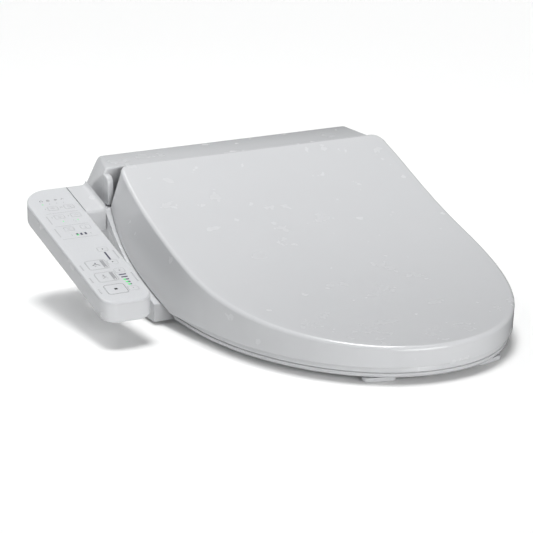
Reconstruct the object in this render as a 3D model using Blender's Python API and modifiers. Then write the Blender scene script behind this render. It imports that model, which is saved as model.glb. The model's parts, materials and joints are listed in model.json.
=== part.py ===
"""Electric bidet seat: lid, heated seat, wash unit with side control arm, base plate.

Frame: metres, +Z up.  The bowl rim is the plane Z = 0, the user faces -Y (the tip of
the lid), and the control arm is on -X.  The origin is on the underside of the base
plate, BACK_OFFSET in front of the rear face of the unit.  Helper coordinates count y
from the rear face; everything hangs under one empty that moves it to the origin.
"""
import bpy
import bmesh
import math
from mathutils import Matrix, Vector

# ------------------------------------------------------------------ dimensions
BACK_OFFSET = 0.110        # origin to the rear face of the unit
DEPTH = 0.5283             # rear face to the tip of the lid
LID_REAR = -0.0781         # rear edge of the lid
LID_HALF_W = 0.177         # widest half width of the lid
LID_WIDE_Y = -0.265        # where the rounded front starts
LID_NECK = 0.0072          # how much the lid narrows to its rear edge
LID_FRONT_EXP = 2.06       # super-ellipse exponent of the front
LID_TIP_Z = 0.0394         # lid top at the tip
LID_RISE = (0.022, 0.024, 0.098, -0.034)   # rise of the lid top, powers 1 to 4
LID_T = 0.0026             # lid wall
LID_EDGE = 0.0035          # edge chamfer of the lid
LID_SKIRT_Z = 0.0167       # lower edge of the skirt over the seat
LID_SKIRT_RISE = 0.055     # how far the lower edge climbs at the rear
LID_FLARE = 0.0145         # spread of the skirt at the rear
LID_CORNER = 0.014         # rear corner radius
UNIT_FRONT = -0.2165       # front wall of the wash unit
UNIT_HALF_W = 0.184        # half width of the housing
UNIT_CORE = 0.130          # half width of the middle of the unit, between hinge arms
CASE_Z0 = 0.003            # underside of the lower casing
SPLIT_Z = 0.060            # joint between lower casing and top cover
HOUSING_Z = 0.1435         # top of the housing
HOUSING_FRONT = -0.0655    # front edge of the housing top
END_X, END_PLAN, END_SLOPE = 0.162, 0.311, 0.5206   # sloping ends of the housing
WALL = 0.0025
HINGE_Y, HINGE_Z = -0.088, 0.130
KNUCKLE_R, PIN_R, PIN_HOLE_R = 0.0085, 0.0040, 0.0043
SEAT_Z0 = 0.0046           # underside of the seat ring
SEAT_SPLIT = 0.0098        # joint between the two seat shells
SEAT_REAR = -0.2205        # rear of the seat ring
SEAT_INSET = 0.005         # seat outline inside the lid outline
HOLE_Y, HOLE_RX, HOLE_RY = -0.356, 0.108, 0.119
ARM_X0, ARM_X1 = -0.276, -0.2167     # control arm
ARM_Y0, ARM_Y1 = -0.0333, -0.2736
ARM_TOP, ARM_SLOPE = 0.1187, 0.2796  # top of the arm at ARM_Y0, and its fall per metre
ARM_H = 0.0247             # height of the arm
ARM_R = (0.0005, 0.0330, 0.0155, 0.0170)   # its corner radii: rear inner, rear outer, front outer, front inner
LINK_X, LINK_Y = -0.1925, -0.0906     # the part that joins the arm to the unit
PANEL_T = 0.0027
WING_X0, WING_X1 = -0.192, -0.1805   # side wall of the casing beside the lid
WAND_TILT = math.radians(28.0)
WAND_Y, WAND_Z = UNIT_FRONT, 0.0262  # the wand's axis where it leaves the unit
WAND_R = 0.0075
WAND_TRAVEL = 0.095
GEAR_M, GEAR_N = 0.0008, 16
RACK_T = 0.0092            # rack pitch line above the wand's axis
PINION_S = -0.030          # pinion position along the wand

SMALL_KEY = (0.0121, 0.0088)
LARGE_KEY = (0.0241, 0.0191)
KEYS = {  # name: (x, y, size, corner)
    "switch_rear_wash": (-0.2518, -0.1989, LARGE_KEY),
    "switch_front_wash": (-0.2518, -0.2240, LARGE_KEY),
    "switch_stop": (-0.2518, -0.2490, LARGE_KEY),
    "switch_position_back": (-0.2324, -0.1701, SMALL_KEY),
    "switch_position_front": (-0.2324, -0.1973, SMALL_KEY),
    "switch_pressure_up": (-0.2324, -0.2152, SMALL_KEY),
    "switch_pressure_down": (-0.2324, -0.2516, SMALL_KEY),
    "switch_air_dry": (-0.2513, -0.0757, SMALL_KEY),
    "switch_deodorizer": (-0.2313, -0.0757, SMALL_KEY),
    "switch_seat_heat": (-0.2513, -0.0947, SMALL_KEY),
    "switch_water_heat": (-0.2313, -0.0947, SMALL_KEY),
    "switch_energy_saver": (-0.2513, -0.1214, SMALL_KEY),
    "switch_wand_clean": (-0.2313, -0.1214, SMALL_KEY),
}

# ------------------------------------------------------------------ scene set-up
for ob in list(bpy.data.objects):
    bpy.data.objects.remove(ob, do_unlink=True)
scene = bpy.context.scene
parts = bpy.data.collections.new("bidet_seat")
cutters = bpy.data.collections.new("cutters")
scene.collection.children.link(parts)
scene.collection.children.link(cutters)
root = bpy.data.objects.new("seat_frame", None)
root.location = (0.0, BACK_OFFSET, 0.0)
parts.objects.link(root)


def material(name, color, rough, metal=0.0):
    m = bpy.data.materials.new(name)
    m.use_nodes = True
    b = m.node_tree.nodes["Principled BSDF"]
    b.inputs["Base Color"].default_value = (*color, 1.0)
    b.inputs["Roughness"].default_value = rough
    b.inputs["Metallic"].default_value = metal
    return m


SHELL = material("white_gloss", (0.84, 0.85, 0.87), 0.18)
PANEL = material("panel_satin", (0.78, 0.79, 0.81), 0.32)
INNER = material("inner_white", (0.70, 0.71, 0.72), 0.45)
GREY = material("grey_plastic", (0.35, 0.36, 0.38), 0.5)
DARK = material("dark_plastic", (0.06, 0.06, 0.07), 0.5)
RUBBER = material("rubber_grey", (0.55, 0.55, 0.56), 0.8)
STEEL = material("steel", (0.62, 0.63, 0.65), 0.25, 1.0)
BRASS = material("brass", (0.75, 0.58, 0.28), 0.3, 1.0)
BOARD = material("circuit_board", (0.05, 0.25, 0.12), 0.6)
FOIL = material("heater_foil", (0.75, 0.75, 0.76), 0.3, 1.0)


# ------------------------------------------------------------------ helpers
def add(name, mesh, mat, cutter=False):
    ob = bpy.data.objects.new(name, mesh)
    (cutters if cutter else parts).objects.link(ob)
    ob.parent = root
    if cutter:
        ob.hide_render = True
        ob.display_type = 'WIRE'
    elif mat is not None:
        mesh.materials.append(mat)
    return ob


def from_bm(name, bm, mat, cutter=False):
    bmesh.ops.recalc_face_normals(bm, faces=bm.faces)
    me = bpy.data.meshes.new(name)
    bm.to_mesh(me)
    bm.free()
    return add(name, me, mat, cutter)


def block(name, x0, x1, y0, y1, z0, z1, mat=None, cutter=False, bevel=0.0):
    """Box between two corners, with its edges rounded if bevel is given."""
    bm = bmesh.new()
    bmesh.ops.create_cube(bm, size=1.0)
    for v in bm.verts:
        v.co.x = x0 if v.co.x < 0 else x1
        v.co.y = y0 if v.co.y < 0 else y1
        v.co.z = z0 if v.co.z < 0 else z1
    ob = from_bm(name, bm, mat, cutter)
    if bevel > 0.0:
        m = ob.modifiers.new("edges", 'BEVEL')
        m.width = bevel
        m.segments = 2
    return ob


def rod(name, centre, axis, r, length, mat=None, cutter=False, seg=32, r2=None):
    """Cylinder or cone about a centre point, its length along axis."""
    bm = bmesh.new()
    bmesh.ops.create_cone(bm, cap_ends=True, segments=seg, radius1=r,
                          radius2=r if r2 is None else r2, depth=length)
    q = Vector((0, 0, 1)).rotation_difference(Vector(axis).normalized())
    bmesh.ops.transform(bm, verts=bm.verts,
                        matrix=Matrix.Translation(centre) @ q.to_matrix().to_4x4())
    return from_bm(name, bm, mat, cutter)


PLANES = {  # outline axes (u, v) and the direction of the thickness
    'Z': Matrix(((1, 0, 0), (0, 1, 0), (0, 0, 1))),
    'X': Matrix(((0, 0, 1), (1, 0, 0), (0, 1, 0))),
}


def slab(name, outline, lo, hi, plane='Z', mat=None, cutter=False):
    """Flat outline with thickness from lo to hi: a filled 2D curve, made a mesh."""
    cu = bpy.data.curves.new(name, 'CURVE')
    cu.dimensions = '2D'
    cu.fill_mode = 'BOTH'
    cu.extrude = (hi - lo) / 2
    sp = cu.splines.new('POLY')
    sp.points.add(len(outline) - 1)
    for p, (u, v) in zip(sp.points, outline):
        p.co = (u, v, 0.0, 1.0)
    sp.use_cyclic_u = True
    tmp = bpy.data.objects.new(name + "_curve", cu)
    scene.collection.objects.link(tmp)
    bpy.context.view_layer.update()
    me = bpy.data.meshes.new_from_object(tmp.evaluated_get(bpy.context.evaluated_depsgraph_get()))
    bm = bmesh.new()
    bm.from_mesh(me)
    bmesh.ops.remove_doubles(bm, verts=bm.verts, dist=1e-6)
    bmesh.ops.transform(bm, verts=bm.verts,
                        matrix=PLANES[plane].to_4x4() @ Matrix.Translation((0, 0, (lo + hi) / 2)))
    bpy.data.objects.remove(tmp, do_unlink=True)
    bpy.data.curves.remove(cu)
    bpy.data.meshes.remove(me)
    return from_bm(name, bm, mat, cutter)


def rounded(x0, x1, y0, y1, r, n=5):
    """Outline of a rectangle with round corners."""
    pts = []
    for cx, cy, a in ((x1 - r, y1 - r, 0), (x0 + r, y1 - r, 90), (x0 + r, y0 + r, 180), (x1 - r, y0 + r, 270)):
        for i in range(n + 1):
            t = math.radians(a + 90.0 * i / n)
            pts.append((cx + r * math.cos(t), cy + r * math.sin(t)))
    return pts


def arm_outline(d, n=6):
    """Outline of the control arm moved inwards by d."""
    x0, x1, y0, y1 = ARM_X0 + d, ARM_X1 - d, ARM_Y1 + d, ARM_Y0 - d
    rs = [max(0.0005, r - d) for r in ARM_R]
    pts = []
    for (cx, cy), r, a in zip(((x1 - rs[0], y1 - rs[0]), (x0 + rs[1], y1 - rs[1]), (x0 + rs[2], y0 + rs[2]), (x1 - rs[3], y0 + rs[3])), rs, (0, 90, 180, 270)):
        if r < 0.001:
            pts.append((x1, y1))
            continue
        for i in range(n + 1):
            t = math.radians(a + 90.0 * i / n)
            pts.append((cx + r * math.cos(t), cy + r * math.sin(t)))
    return pts


def boolean(ob, tool, op):
    m = ob.modifiers.new(op.lower(), 'BOOLEAN')
    m.operation = op
    m.object = tool
    m.solver = 'EXACT'
    return ob


def cut(ob, *tools):
    for t in tools:
        boolean(ob, t, 'DIFFERENCE')
    return ob


def join(ob, *tools):
    for t in tools:
        boolean(ob, t, 'UNION')
    return ob


def slope(ob):
    """Lay a flat-built piece of the control arm on the arm's falling top plane."""
    sh = Matrix.Identity(4)
    sh[2][1] = ARM_SLOPE
    sh[2][3] = ARM_TOP - ARM_SLOPE * ARM_Y0
    ob.data.transform(sh)
    return ob


def pivot(ob, p):
    """Put the origin of a moving piece on its joint."""
    ob.data.transform(Matrix.Translation(-Vector(p)))
    ob.location = p
    return ob


def ring_solid(name, loops, mat):
    """Closed shell of equal loops of points; the last loop joins the first."""
    bm = bmesh.new()
    rows = [[bm.verts.new(p) for p in loop] for loop in loops]
    n = len(rows[0])
    for a in range(len(rows)):
        r0, r1 = rows[a], rows[(a + 1) % len(rows)]
        for i in range(n):
            j = (i + 1) % n
            bm.faces.new((r0[i], r0[j], r1[j], r1[i]))
    bmesh.ops.triangulate(bm, faces=bm.faces)
    return from_bm(name, bm, mat)


# ------------------------------------------------------------------ lid surface
def lid_width(y):
    """Half width of the lid at y."""
    if y >= LID_WIDE_Y:
        t = (y - LID_WIDE_Y) / (LID_REAR - LID_WIDE_Y)
        return LID_HALF_W - LID_NECK * t ** 6
    t = (LID_WIDE_Y - y) / (LID_WIDE_Y + DEPTH)
    return LID_HALF_W * max(0.0, 1.0 - t ** LID_FRONT_EXP) ** (1.0 / LID_FRONT_EXP)


def lid_top(y):
    u = (y + DEPTH) / (DEPTH + LID_REAR)
    a, b, c, d = LID_RISE
    return LID_TIP_Z + a * u + b * u ** 2 + c * u ** 3 + d * u ** 4


def lid_low(y):
    """Lower edge of the lid's skirt."""
    t = min(1.0, max(0.0, (y + 0.2386) / 0.1506))
    return LID_SKIRT_Z + LID_SKIRT_RISE * t + 0.031 * t ** 4


def lid_flare(y):
    """How far the foot of the skirt stands out from the lid's upper edge."""
    t = min(1.0, max(0.0, (y + 0.300) / 0.210))
    return LID_FLARE * (1.0 - (1.0 - t) ** 1.8)


def wing_top(y):
    """Top of the casing's side wall beside the lid, level with the arm's deck at the rear."""
    return min(0.1008, lid_low(y) - 0.0018)


def half_outline():
    """Lid outline from the tip round to the rear corner, on +X."""
    pts = []
    for i in range(1, 27):
        t = math.radians(90.0 * i / 26)
        pts.append((lid_width(LID_WIDE_Y - (LID_WIDE_Y + DEPTH) * math.cos(t)), LID_WIDE_Y - (LID_WIDE_Y + DEPTH) * math.cos(t)))
    for i in range(1, 12):
        y = LID_WIDE_Y + (LID_REAR - LID_CORNER - 0.001 - LID_WIDE_Y) * i / 11
        pts.append((lid_width(y), y))
    w = lid_width(LID_REAR - LID_CORNER)
    for i in range(1, 6):
        t = math.radians(90.0 * i / 5)
        pts.append((w - LID_CORNER + LID_CORNER * math.cos(t), LID_REAR - LID_CORNER + LID_CORNER * math.sin(t)))
    return pts


def offset(pts, d):
    """Closed outline moved inwards by d."""
    n, out = len(pts), []
    for i in range(n):
        a, b, c = Vector(pts[i - 1]), Vector(pts[i]), Vector(pts[(i + 1) % n])
        e = ((b - a).normalized() + (c - b).normalized()).normalized()
        nrm = Vector((-e.y, e.x))
        cosv = max(0.5, abs(nrm.dot(Vector((-(b - a).normalized().y, (b - a).normalized().x)))))
        out.append(tuple(b + nrm * d / cosv))
    return out


def lid_shell():
    half = half_outline()
    tip = (0.0, -DEPTH)
    loop = [tip] + half + [(-x, y) for x, y in reversed(half)]
    inner1, inner2 = offset(loop, LID_EDGE), offset(loop, LID_T)
    n, m = len(loop), len(half)

    def on_side(p):
        # the skirt stops short at the rear corner, where the lip under the rear edge starts
        return p[1] < LID_REAR - LID_CORNER or abs(p[0]) > lid_width(LID_REAR - LID_CORNER) - 0.0060

    def low(p):
        return lid_low(min(p[1], -0.0865)) if on_side(p) else max(lid_low(p[1]), lid_top(p[1]) - 0.0058)

    def foot(p, q):
        # foot of the skirt below outline point p, for a wall point q
        if not on_side(p) or abs(p[0]) < 0.02:
            return q
        return (q[0] + math.copysign(lid_flare(p[1]), p[0]), q[1])

    bm = bmesh.new()
    outer_low = [bm.verts.new((*foot(p, p), low(p))) for p in loop]
    outer_up = [bm.verts.new((p[0], p[1], lid_top(p[1]) - LID_EDGE)) for p in loop]
    top = [bm.verts.new((q[0], q[1], lid_top(q[1]))) for q in inner1]
    roof = [bm.verts.new((q[0], q[1], lid_top(q[1]) - LID_EDGE - 0.0004)) for q in inner2]
    inner_low = [bm.verts.new((*foot(p, q), low(p))) for p, q in zip(loop, inner2)]
    rows = (inner_low, outer_low, outer_up, top)
    for r0, r1 in zip(rows, rows[1:]):
        for i in range(n):
            j = (i + 1) % n
            bm.faces.new((r0[i], r0[j], r1[j], r1[i]))
    for i in range(n):
        j = (i + 1) % n
        bm.faces.new((roof[i], roof[j], inner_low[j], inner_low[i]))
    # ruled roof between the two sides, outside and inside
    for row in (top, roof):
        flip = row is roof
        for k in range(0, m):
            a, b = k, k + 1
            c, d = n - k - 1, (n - k) % n
            f = (row[a], row[b], row[c]) if k == 0 else (row[a], row[b], row[c], row[d])
            bm.faces.new(tuple(reversed(f)) if flip else f)
    bmesh.ops.triangulate(bm, faces=bm.faces)
    return from_bm("lid_shell", bm, SHELL)


lid = lid_shell()
for side, s in (("l", -1), ("r", 1)):
    xa, xb = sorted((s * 0.1525, s * 0.1640))
    web = slab("lid_web_" + side, [(-0.0970, HINGE_Z - 0.004), (-0.0800, HINGE_Z - 0.001), (-0.0805, lid_top(-0.0805) - 0.0020),
                                   (-0.0970, lid_top(-0.0970) - 0.0020)], xa, xb, 'X', cutter=True)
    eye = rod("lid_eye_" + side, (s * 0.15825, HINGE_Y, HINGE_Z), (1, 0, 0), KNUCKLE_R, 0.0115, cutter=True)
    bore = rod("lid_bore_" + side, (s * 0.15825, HINGE_Y, HINGE_Z), (1, 0, 0), PIN_HOLE_R, 0.02, cutter=True, seg=24)
    join(lid, web, eye)
    cut(lid, bore)
pivot(lid, (0, HINGE_Y, HINGE_Z))


# ------------------------------------------------------------------ seat ring
def seat_loops(n=88):
    """Outer outline and opening of the seat at the same angles."""
    half = half_outline()
    loop = [(0.0, -DEPTH)] + half + [(-x, y) for x, y in reversed(half)]
    outline = offset(loop, SEAT_INSET)
    outer, hole = [], []
    for i in range(n):
        t = 2 * math.pi * (i + 0.5) / n
        dx, dy = math.cos(t), math.sin(t)
        r = 1e9
        for a, b in zip(outline, outline[1:] + outline[:1]):
            ex, ey = b[0] - a[0], b[1] - a[1]
            det = dx * -ey + ex * dy
            if abs(det) > 1e-12:
                ax, ay = a[0], a[1] - HOLE_Y
                k = (ax * -ey + ex * ay) / det
                w = (dx * ay - dy * ax) / det
                if k > 0 and -1e-9 <= w <= 1 + 1e-9:
                    r = min(r, k)
        if dy > 0:
            r = min(r, (SEAT_REAR - HOLE_Y) / dy)
        outer.append((r * dx, HOLE_Y + r * dy))
        h = 1.0 / math.sqrt((dx / HOLE_RX) ** 2 + (dy / HOLE_RY) ** 2)
        hole.append((h * dx, HOLE_Y + h * dy))
    return outer, hole


def seat_top(y):
    """Crest of the seat: it climbs gently to the rear."""
    t = max(0.0, min(1.0, (y + 0.46) / (0.46 + SEAT_REAR)))
    return 0.0340 + 0.016 * t * t * (3 - 2 * t)


def between(a, b, t):
    return [(p[0] + (q[0] - p[0]) * t, p[1] + (q[1] - p[1]) * t) for p, q in zip(a, b)]


OUT, HOLE = seat_loops()


def at(loop, z):
    return [(x, y, z(y) if callable(z) else z) for x, y in loop]


bottom_shell = ring_solid("seat_bottom_shell", [
    at(OUT, SEAT_Z0 + 0.003), at(OUT, SEAT_SPLIT), at(between(OUT, HOLE, 0.07), SEAT_SPLIT),
    at(between(OUT, HOLE, 0.09), SEAT_Z0 + 0.0026), at(between(OUT, HOLE, 0.91), SEAT_Z0 + 0.0026),
    at(between(OUT, HOLE, 0.93), SEAT_SPLIT), at(HOLE, SEAT_SPLIT), at(HOLE, SEAT_Z0 + 0.003),
    at(between(OUT, HOLE, 0.93), SEAT_Z0), at(between(OUT, HOLE, 0.05), SEAT_Z0)], SHELL)
top_shell = ring_solid("seat_top_shell", [
    at(OUT, SEAT_SPLIT + 0.0003), at(between(OUT, HOLE, 0.07), SEAT_SPLIT + 0.0003),
    at(between(OUT, HOLE, 0.12), lambda y: seat_top(y) - 0.0062), at(between(OUT, HOLE, 0.5), lambda y: seat_top(y) - 0.0036),
    at(between(OUT, HOLE, 0.88), lambda y: seat_top(y) - 0.0092), at(between(OUT, HOLE, 0.93), SEAT_SPLIT + 0.0003),
    at(HOLE, SEAT_SPLIT + 0.0003), at(HOLE, lambda y: seat_top(y) - 0.0120), at(between(OUT, HOLE, 0.90), lambda y: seat_top(y) - 0.0050),
    at(between(OUT, HOLE, 0.5), seat_top), at(between(OUT, HOLE, 0.10), lambda y: seat_top(y) - 0.0020),
    at(OUT, lambda y: seat_top(y) - 0.0060)], SHELL)
heater = ring_solid("seat_heater", [
    at(between(OUT, HOLE, 0.16), lambda y: seat_top(y) - 0.0072), at(between(OUT, HOLE, 0.5), lambda y: seat_top(y) - 0.0052),
    at(between(OUT, HOLE, 0.84), lambda y: seat_top(y) - 0.0096), at(between(OUT, HOLE, 0.84), lambda y: seat_top(y) - 0.0102),
    at(between(OUT, HOLE, 0.5), lambda y: seat_top(y) - 0.0058), at(between(OUT, HOLE, 0.16), lambda y: seat_top(y) - 0.0078)], FOIL)

# arms from the ring up to the hinge
for side, s in (("l", -1), ("r", 1)):
    xa, xb = sorted((s * 0.1345, s * 0.1505))
    a = Vector((-0.238, 0.0290))
    b = Vector((HINGE_Y, HINGE_Z))
    d = (b - a).normalized()
    nrm = Vector((-d.y, d.x)) * 0.0068
    arm = slab("seat_arm_" + side, [tuple(a - nrm - d * 0.004), tuple(b - nrm), tuple(b + nrm), tuple(a + nrm - d * 0.004)], xa, xb, 'X', cutter=True)
    eye = rod("seat_eye_" + side, (s * 0.1425, HINGE_Y, HINGE_Z), (1, 0, 0), KNUCKLE_R, 0.0164, cutter=True)
    bore = rod("seat_bore_" + side, (s * 0.1425, HINGE_Y, HINGE_Z), (1, 0, 0), PIN_HOLE_R, 0.03, cutter=True, seg=24)
    join(top_shell, arm, eye)
    cut(top_shell, bore)
# the wand passes under the rear of the ring
notch = block("wand_notch", -0.030, 0.030, -0.262, -0.215, -0.01, 0.0375, cutter=True)
cut(top_shell, notch)
cut(bottom_shell, notch)
cut(heater, block("heater_notch", -0.200, 0.200, -0.256, -0.200, -0.01, 0.060, cutter=True))
for ob in (top_shell, bottom_shell, heater):
    pivot(ob, (0, HINGE_Y, HINGE_Z))


def foot(name, x, y, lx, ly, z0, z1, turn, mat):
    """Pill-shaped rubber foot."""
    pts = rounded(-lx / 2, lx / 2, -ly / 2, ly / 2, ly / 2 - 0.0001, 6)
    c, s = math.cos(turn), math.sin(turn)
    return pivot(slab(name, [(x + c * u - s * v, y + s * u + c * v) for u, v in pts], z0, z1, 'Z', mat), (0, HINGE_Y, HINGE_Z))


for side, s in (("l", -1), ("r", 1)):
    foot("seat_bumper_f" + side, s * 0.066, -0.4955, 0.036, 0.012, 0.0, SEAT_Z0 - 0.0003, s * math.radians(17), RUBBER)
    foot("seat_bumper_r" + side, s * 0.138, -0.300, 0.034, 0.012, 0.0, SEAT_Z0 - 0.0003, math.radians(90), RUBBER)
    foot("lid_bumper_f" + side, s * 0.088, -0.4580, 0.014, 0.009, 0.0347, lid_top(-0.4610) - LID_EDGE - 0.0008, s * math.radians(40), RUBBER)
    foot("lid_bumper_r" + side, s * 0.140, -0.3000, 0.012, 0.0075, 0.0480, lid_top(-0.3060) - LID_EDGE - 0.0010, math.radians(90), RUBBER)


# ------------------------------------------------------------------ lower casing
FOOTPRINT = [(UNIT_HALF_W, -0.0015), (-UNIT_HALF_W, -0.0015), (-UNIT_HALF_W, HOUSING_FRONT), (WING_X0, HOUSING_FRONT - 0.001),
             (WING_X0, UNIT_FRONT), (-WING_X0, UNIT_FRONT), (-WING_X0, HOUSING_FRONT - 0.001), (UNIT_HALF_W, HOUSING_FRONT)]
CHEEK_X = 0.1655           # inner face of the low side cheeks


def above(name, top, x0, x1, y_back, n=14):
    """Cutter for everything above a falling edge, between two x planes."""
    ys = [UNIT_FRONT - 0.01 + (y_back - UNIT_FRONT + 0.01) * i / n for i in range(n + 1)]
    return slab(name, [(y, top(y)) for y in ys] + [(y_back, 0.13), (UNIT_FRONT - 0.01, 0.13)], x0, x1, 'X', cutter=True)


case = slab("base_case", FOOTPRINT, CASE_Z0, 0.105, 'Z', SHELL)
cut(case,
    block("case_above", WING_X1, -WING_X1, -0.30, 0.05, SPLIT_Z, 0.15, cutter=True),
    block("wing_behind_l", -0.25, WING_X1 + 0.0004, HOUSING_FRONT - 0.0006, 0.05, SPLIT_Z - 0.0004, 0.15, cutter=True),
    block("wing_behind_r", -WING_X1 - 0.0004, 0.25, HOUSING_FRONT - 0.0006, 0.05, SPLIT_Z - 0.0004, 0.15, cutter=True),
    above("wing_above_l", wing_top, -0.25, WING_X1 + 0.0002, HOUSING_FRONT + 0.0030),
    above("wing_above_r", wing_top, -WING_X1 - 0.0002, 0.25, HOUSING_FRONT + 0.0030),
    block("case_hollow_rear", -UNIT_HALF_W + WALL, UNIT_HALF_W - WALL, HOUSING_FRONT + WALL, -0.0015 - WALL, CASE_Z0 + WALL, 0.12, cutter=True),
    block("case_hollow_core", -UNIT_CORE + WALL, UNIT_CORE - WALL, UNIT_FRONT + WALL, -0.0100, CASE_Z0 + WALL, 0.12, cutter=True),
    block("bay_r", UNIT_CORE, CHEEK_X, -0.30, HOUSING_FRONT, CASE_Z0 + 0.003, 0.12, cutter=True),
    block("bay_l", -CHEEK_X, -UNIT_CORE, -0.30, HOUSING_FRONT, CASE_Z0 + 0.003, 0.12, cutter=True),
    above("cheek_above_r", lambda y: lid_low(y) - 0.003, CHEEK_X - 0.0003, -WING_X1 + 0.0002, HOUSING_FRONT - 0.0003),
    above("cheek_above_l", lambda y: lid_low(y) - 0.003, WING_X1 - 0.0002, -CHEEK_X + 0.0003, HOUSING_FRONT - 0.0003))
join(case, block("case_hump", -0.0960, 0.0960, -0.1300, -0.0030, CASE_Z0 + 0.001, 0.0115, cutter=True))
cut(case,
    block("plate_pocket", -0.0905, 0.0905, -0.1257, 0.010, -0.002, 0.0085, cutter=True),
    block("wand_door", -0.0145, 0.0145, -0.2300, -0.2100, 0.0115, 0.0425, cutter=True),
    block("filter_door", 0.1700, 0.1900, -0.0580, -0.0150, 0.0120, 0.0480, cutter=True),
    block("release_door", 0.1600, 0.2050, -0.1200, -0.1020, 0.0110, 0.0210, cutter=True),
    rod("inlet_hole", (0.064, -0.003, 0.030), (0, 1, 0), 0.0086, 0.02, cutter=True, seg=24),
    rod("strainer_hole", (0.155, -0.003, 0.030), (0, 1, 0), 0.0066, 0.02, cutter=True, seg=24),
    rod("gland_hole", (-0.150, -0.003, 0.030), (0, 1, 0), 0.0063, 0.02, cutter=True, seg=24))

# ------------------------------------------------------------------ top cover
SHELF = [(-0.0745, 0.111), (-0.0790, 0.1265), (-0.0810, 0.1360), (HINGE_Y, HINGE_Z + 0.0094), (-0.0955, 0.1360),
         (-0.1050, 0.1270), (-0.1350, 0.1050), (-0.1750, 0.0830), (UNIT_FRONT, 0.0660)]
Z1 = SPLIT_Z + 0.0003
rear_prof = [(-0.0005, Z1), (-0.0005, 0.1300), (-0.0020, 0.1385), (-0.0070, 0.1425), (-0.0120, HOUSING_Z),
             (-0.0640, HOUSING_Z), (HOUSING_FRONT, 0.1420), (HOUSING_FRONT, Z1)]
core_prof = [(-0.0200, Z1), (-0.0200, 0.111), *SHELF, (UNIT_FRONT, Z1)]


def end_cutter(name, s):
    """Wedge outside the sloping end of the housing."""
    bm = bmesh.new()
    bmesh.ops.create_cube(bm, size=1.0)
    for v in bm.verts:
        y = -0.0800 if v.co.y < 0 else 0.0200
        z = 0.0850 if v.co.z < 0 else 0.1600
        x = 0.25 if v.co.x > 0 else END_X - END_PLAN * (y + 0.006) - END_SLOPE * (z - HOUSING_Z)
        v.co = (s * x, y, z)
    return from_bm(name, bm, None, cutter=True)


cover = slab("top_cover", rear_prof, -UNIT_HALF_W, UNIT_HALF_W, 'X', SHELL)
join(cover, slab("cover_core", core_prof, -UNIT_CORE, UNIT_CORE, 'X', cutter=True),
     block("cover_cheek_l", -UNIT_HALF_W, -0.1765, -0.0780, -0.0600, 0.1022, 0.1360, cutter=True),
     block("cover_cheek_r", 0.1765, UNIT_HALF_W, -0.0780, -0.0600, 0.1022, 0.1360, cutter=True))
cut(cover, end_cutter("housing_end_l", -1), end_cutter("housing_end_r", 1),
    slab("cover_hollow", [(-0.0030, 0.05), (-0.0030, 0.1290), (-0.0045, 0.1365), (-0.0120, 0.1405), (-0.0615, 0.1405), (-0.0630, 0.1390), (-0.0630, 0.05)],
         -0.1585, 0.1585, 'X', cutter=True),
    slab("core_hollow", [(-0.0500, 0.05), (-0.0500, 0.1085), (-0.0765, 0.1085), (-0.0800, 0.1190), (-0.1010, 0.1190), (-0.1345, 0.1022), (-0.1743, 0.0803), (UNIT_FRONT + WALL, 0.0640), (UNIT_FRONT + WALL, 0.05)],
         -UNIT_CORE + WALL, UNIT_CORE - WALL, 'X', cutter=True))
for side, s in (("l", -1), ("r", 1)):
    cut(cover, rod("damper_bore_" + side, (s * 0.1090, HINGE_Y, HINGE_Z), (1, 0, 0), 0.0068, 0.050, cutter=True, seg=24))

# hinge pins and their soft-close dampers
for name, s, label in (("hinge_pin_l", -1, "seat_damper"), ("hinge_pin_r", 1, "lid_damper")):
    pin = rod(name, (s * 0.1459, HINGE_Y, HINGE_Z), (1, 0, 0), PIN_R, 0.0394, STEEL, seg=24)
    join(pin, rod(name + "_head", (s * 0.1275, HINGE_Y, HINGE_Z), (1, 0, 0), 0.0064, 0.0040, cutter=True, seg=24))
    damper = rod(label, (s * 0.1052, HINGE_Y, HINGE_Z), (1, 0, 0), 0.0064, 0.0400, GREY, seg=24)

# ------------------------------------------------------------------ control arm
arm_case = slope(slab("arm_case", arm_outline(0.0), -ARM_H, -PANEL_T - 0.0003, 'Z', SHELL))
join(arm_case, slope(slab("arm_link", [(ARM_X1 - 0.0101, ARM_Y0 - 0.0006), (ARM_X1 - 0.0101, LINK_Y), (LINK_X, LINK_Y), (LINK_X, ARM_Y0 - 0.0006)],
                          -ARM_H + 0.0004, -PANEL_T - 0.0006, 'Z', cutter=True)))
cut(arm_case,
    slope(slab("arm_hollow", arm_outline(0.002), -ARM_H + 0.002, 0.002, 'Z', cutter=True)),
    rod("wire_duct", (-0.205, -0.060, 0.0965), (1, 0, 0), 0.0045, 0.06, cutter=True, seg=16))
deck = slope(slab("arm_deck", [(ARM_X1 + 0.0003, ARM_Y0), (ARM_X1 + 0.0003, LINK_Y), (LINK_X, LINK_Y), (LINK_X, ARM_Y0)], -PANEL_T, 0.0, 'Z', SHELL))
overlay = slope(slab("panel_overlay", arm_outline(0.0), -PANEL_T, 0.0, 'Z', PANEL))
board = slope(slab("panel_board", arm_outline(0.004, 4), -0.0090, -0.0074, 'Z', BOARD))
for name, (kx, ky, (w, h)) in KEYS.items():
    r = 0.0018 if h < 0.01 else 0.0030
    cut(overlay, slope(slab("slot_" + name, rounded(kx - w / 2 - 0.0004, kx + w / 2 + 0.0004, ky - h / 2 - 0.0004, ky + h / 2 + 0.0004, r + 0.0004, 3),
                            -0.01, 0.01, 'Z', cutter=True)))
    cap = slope(slab(name, rounded(kx - w / 2, kx + w / 2, ky - h / 2, ky + h / 2, r, 3), -0.0062, 0.0002, 'Z', PANEL))
    pivot(cap, (kx, ky, ARM_TOP + ARM_SLOPE * (ky - ARM_Y0)))

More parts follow.
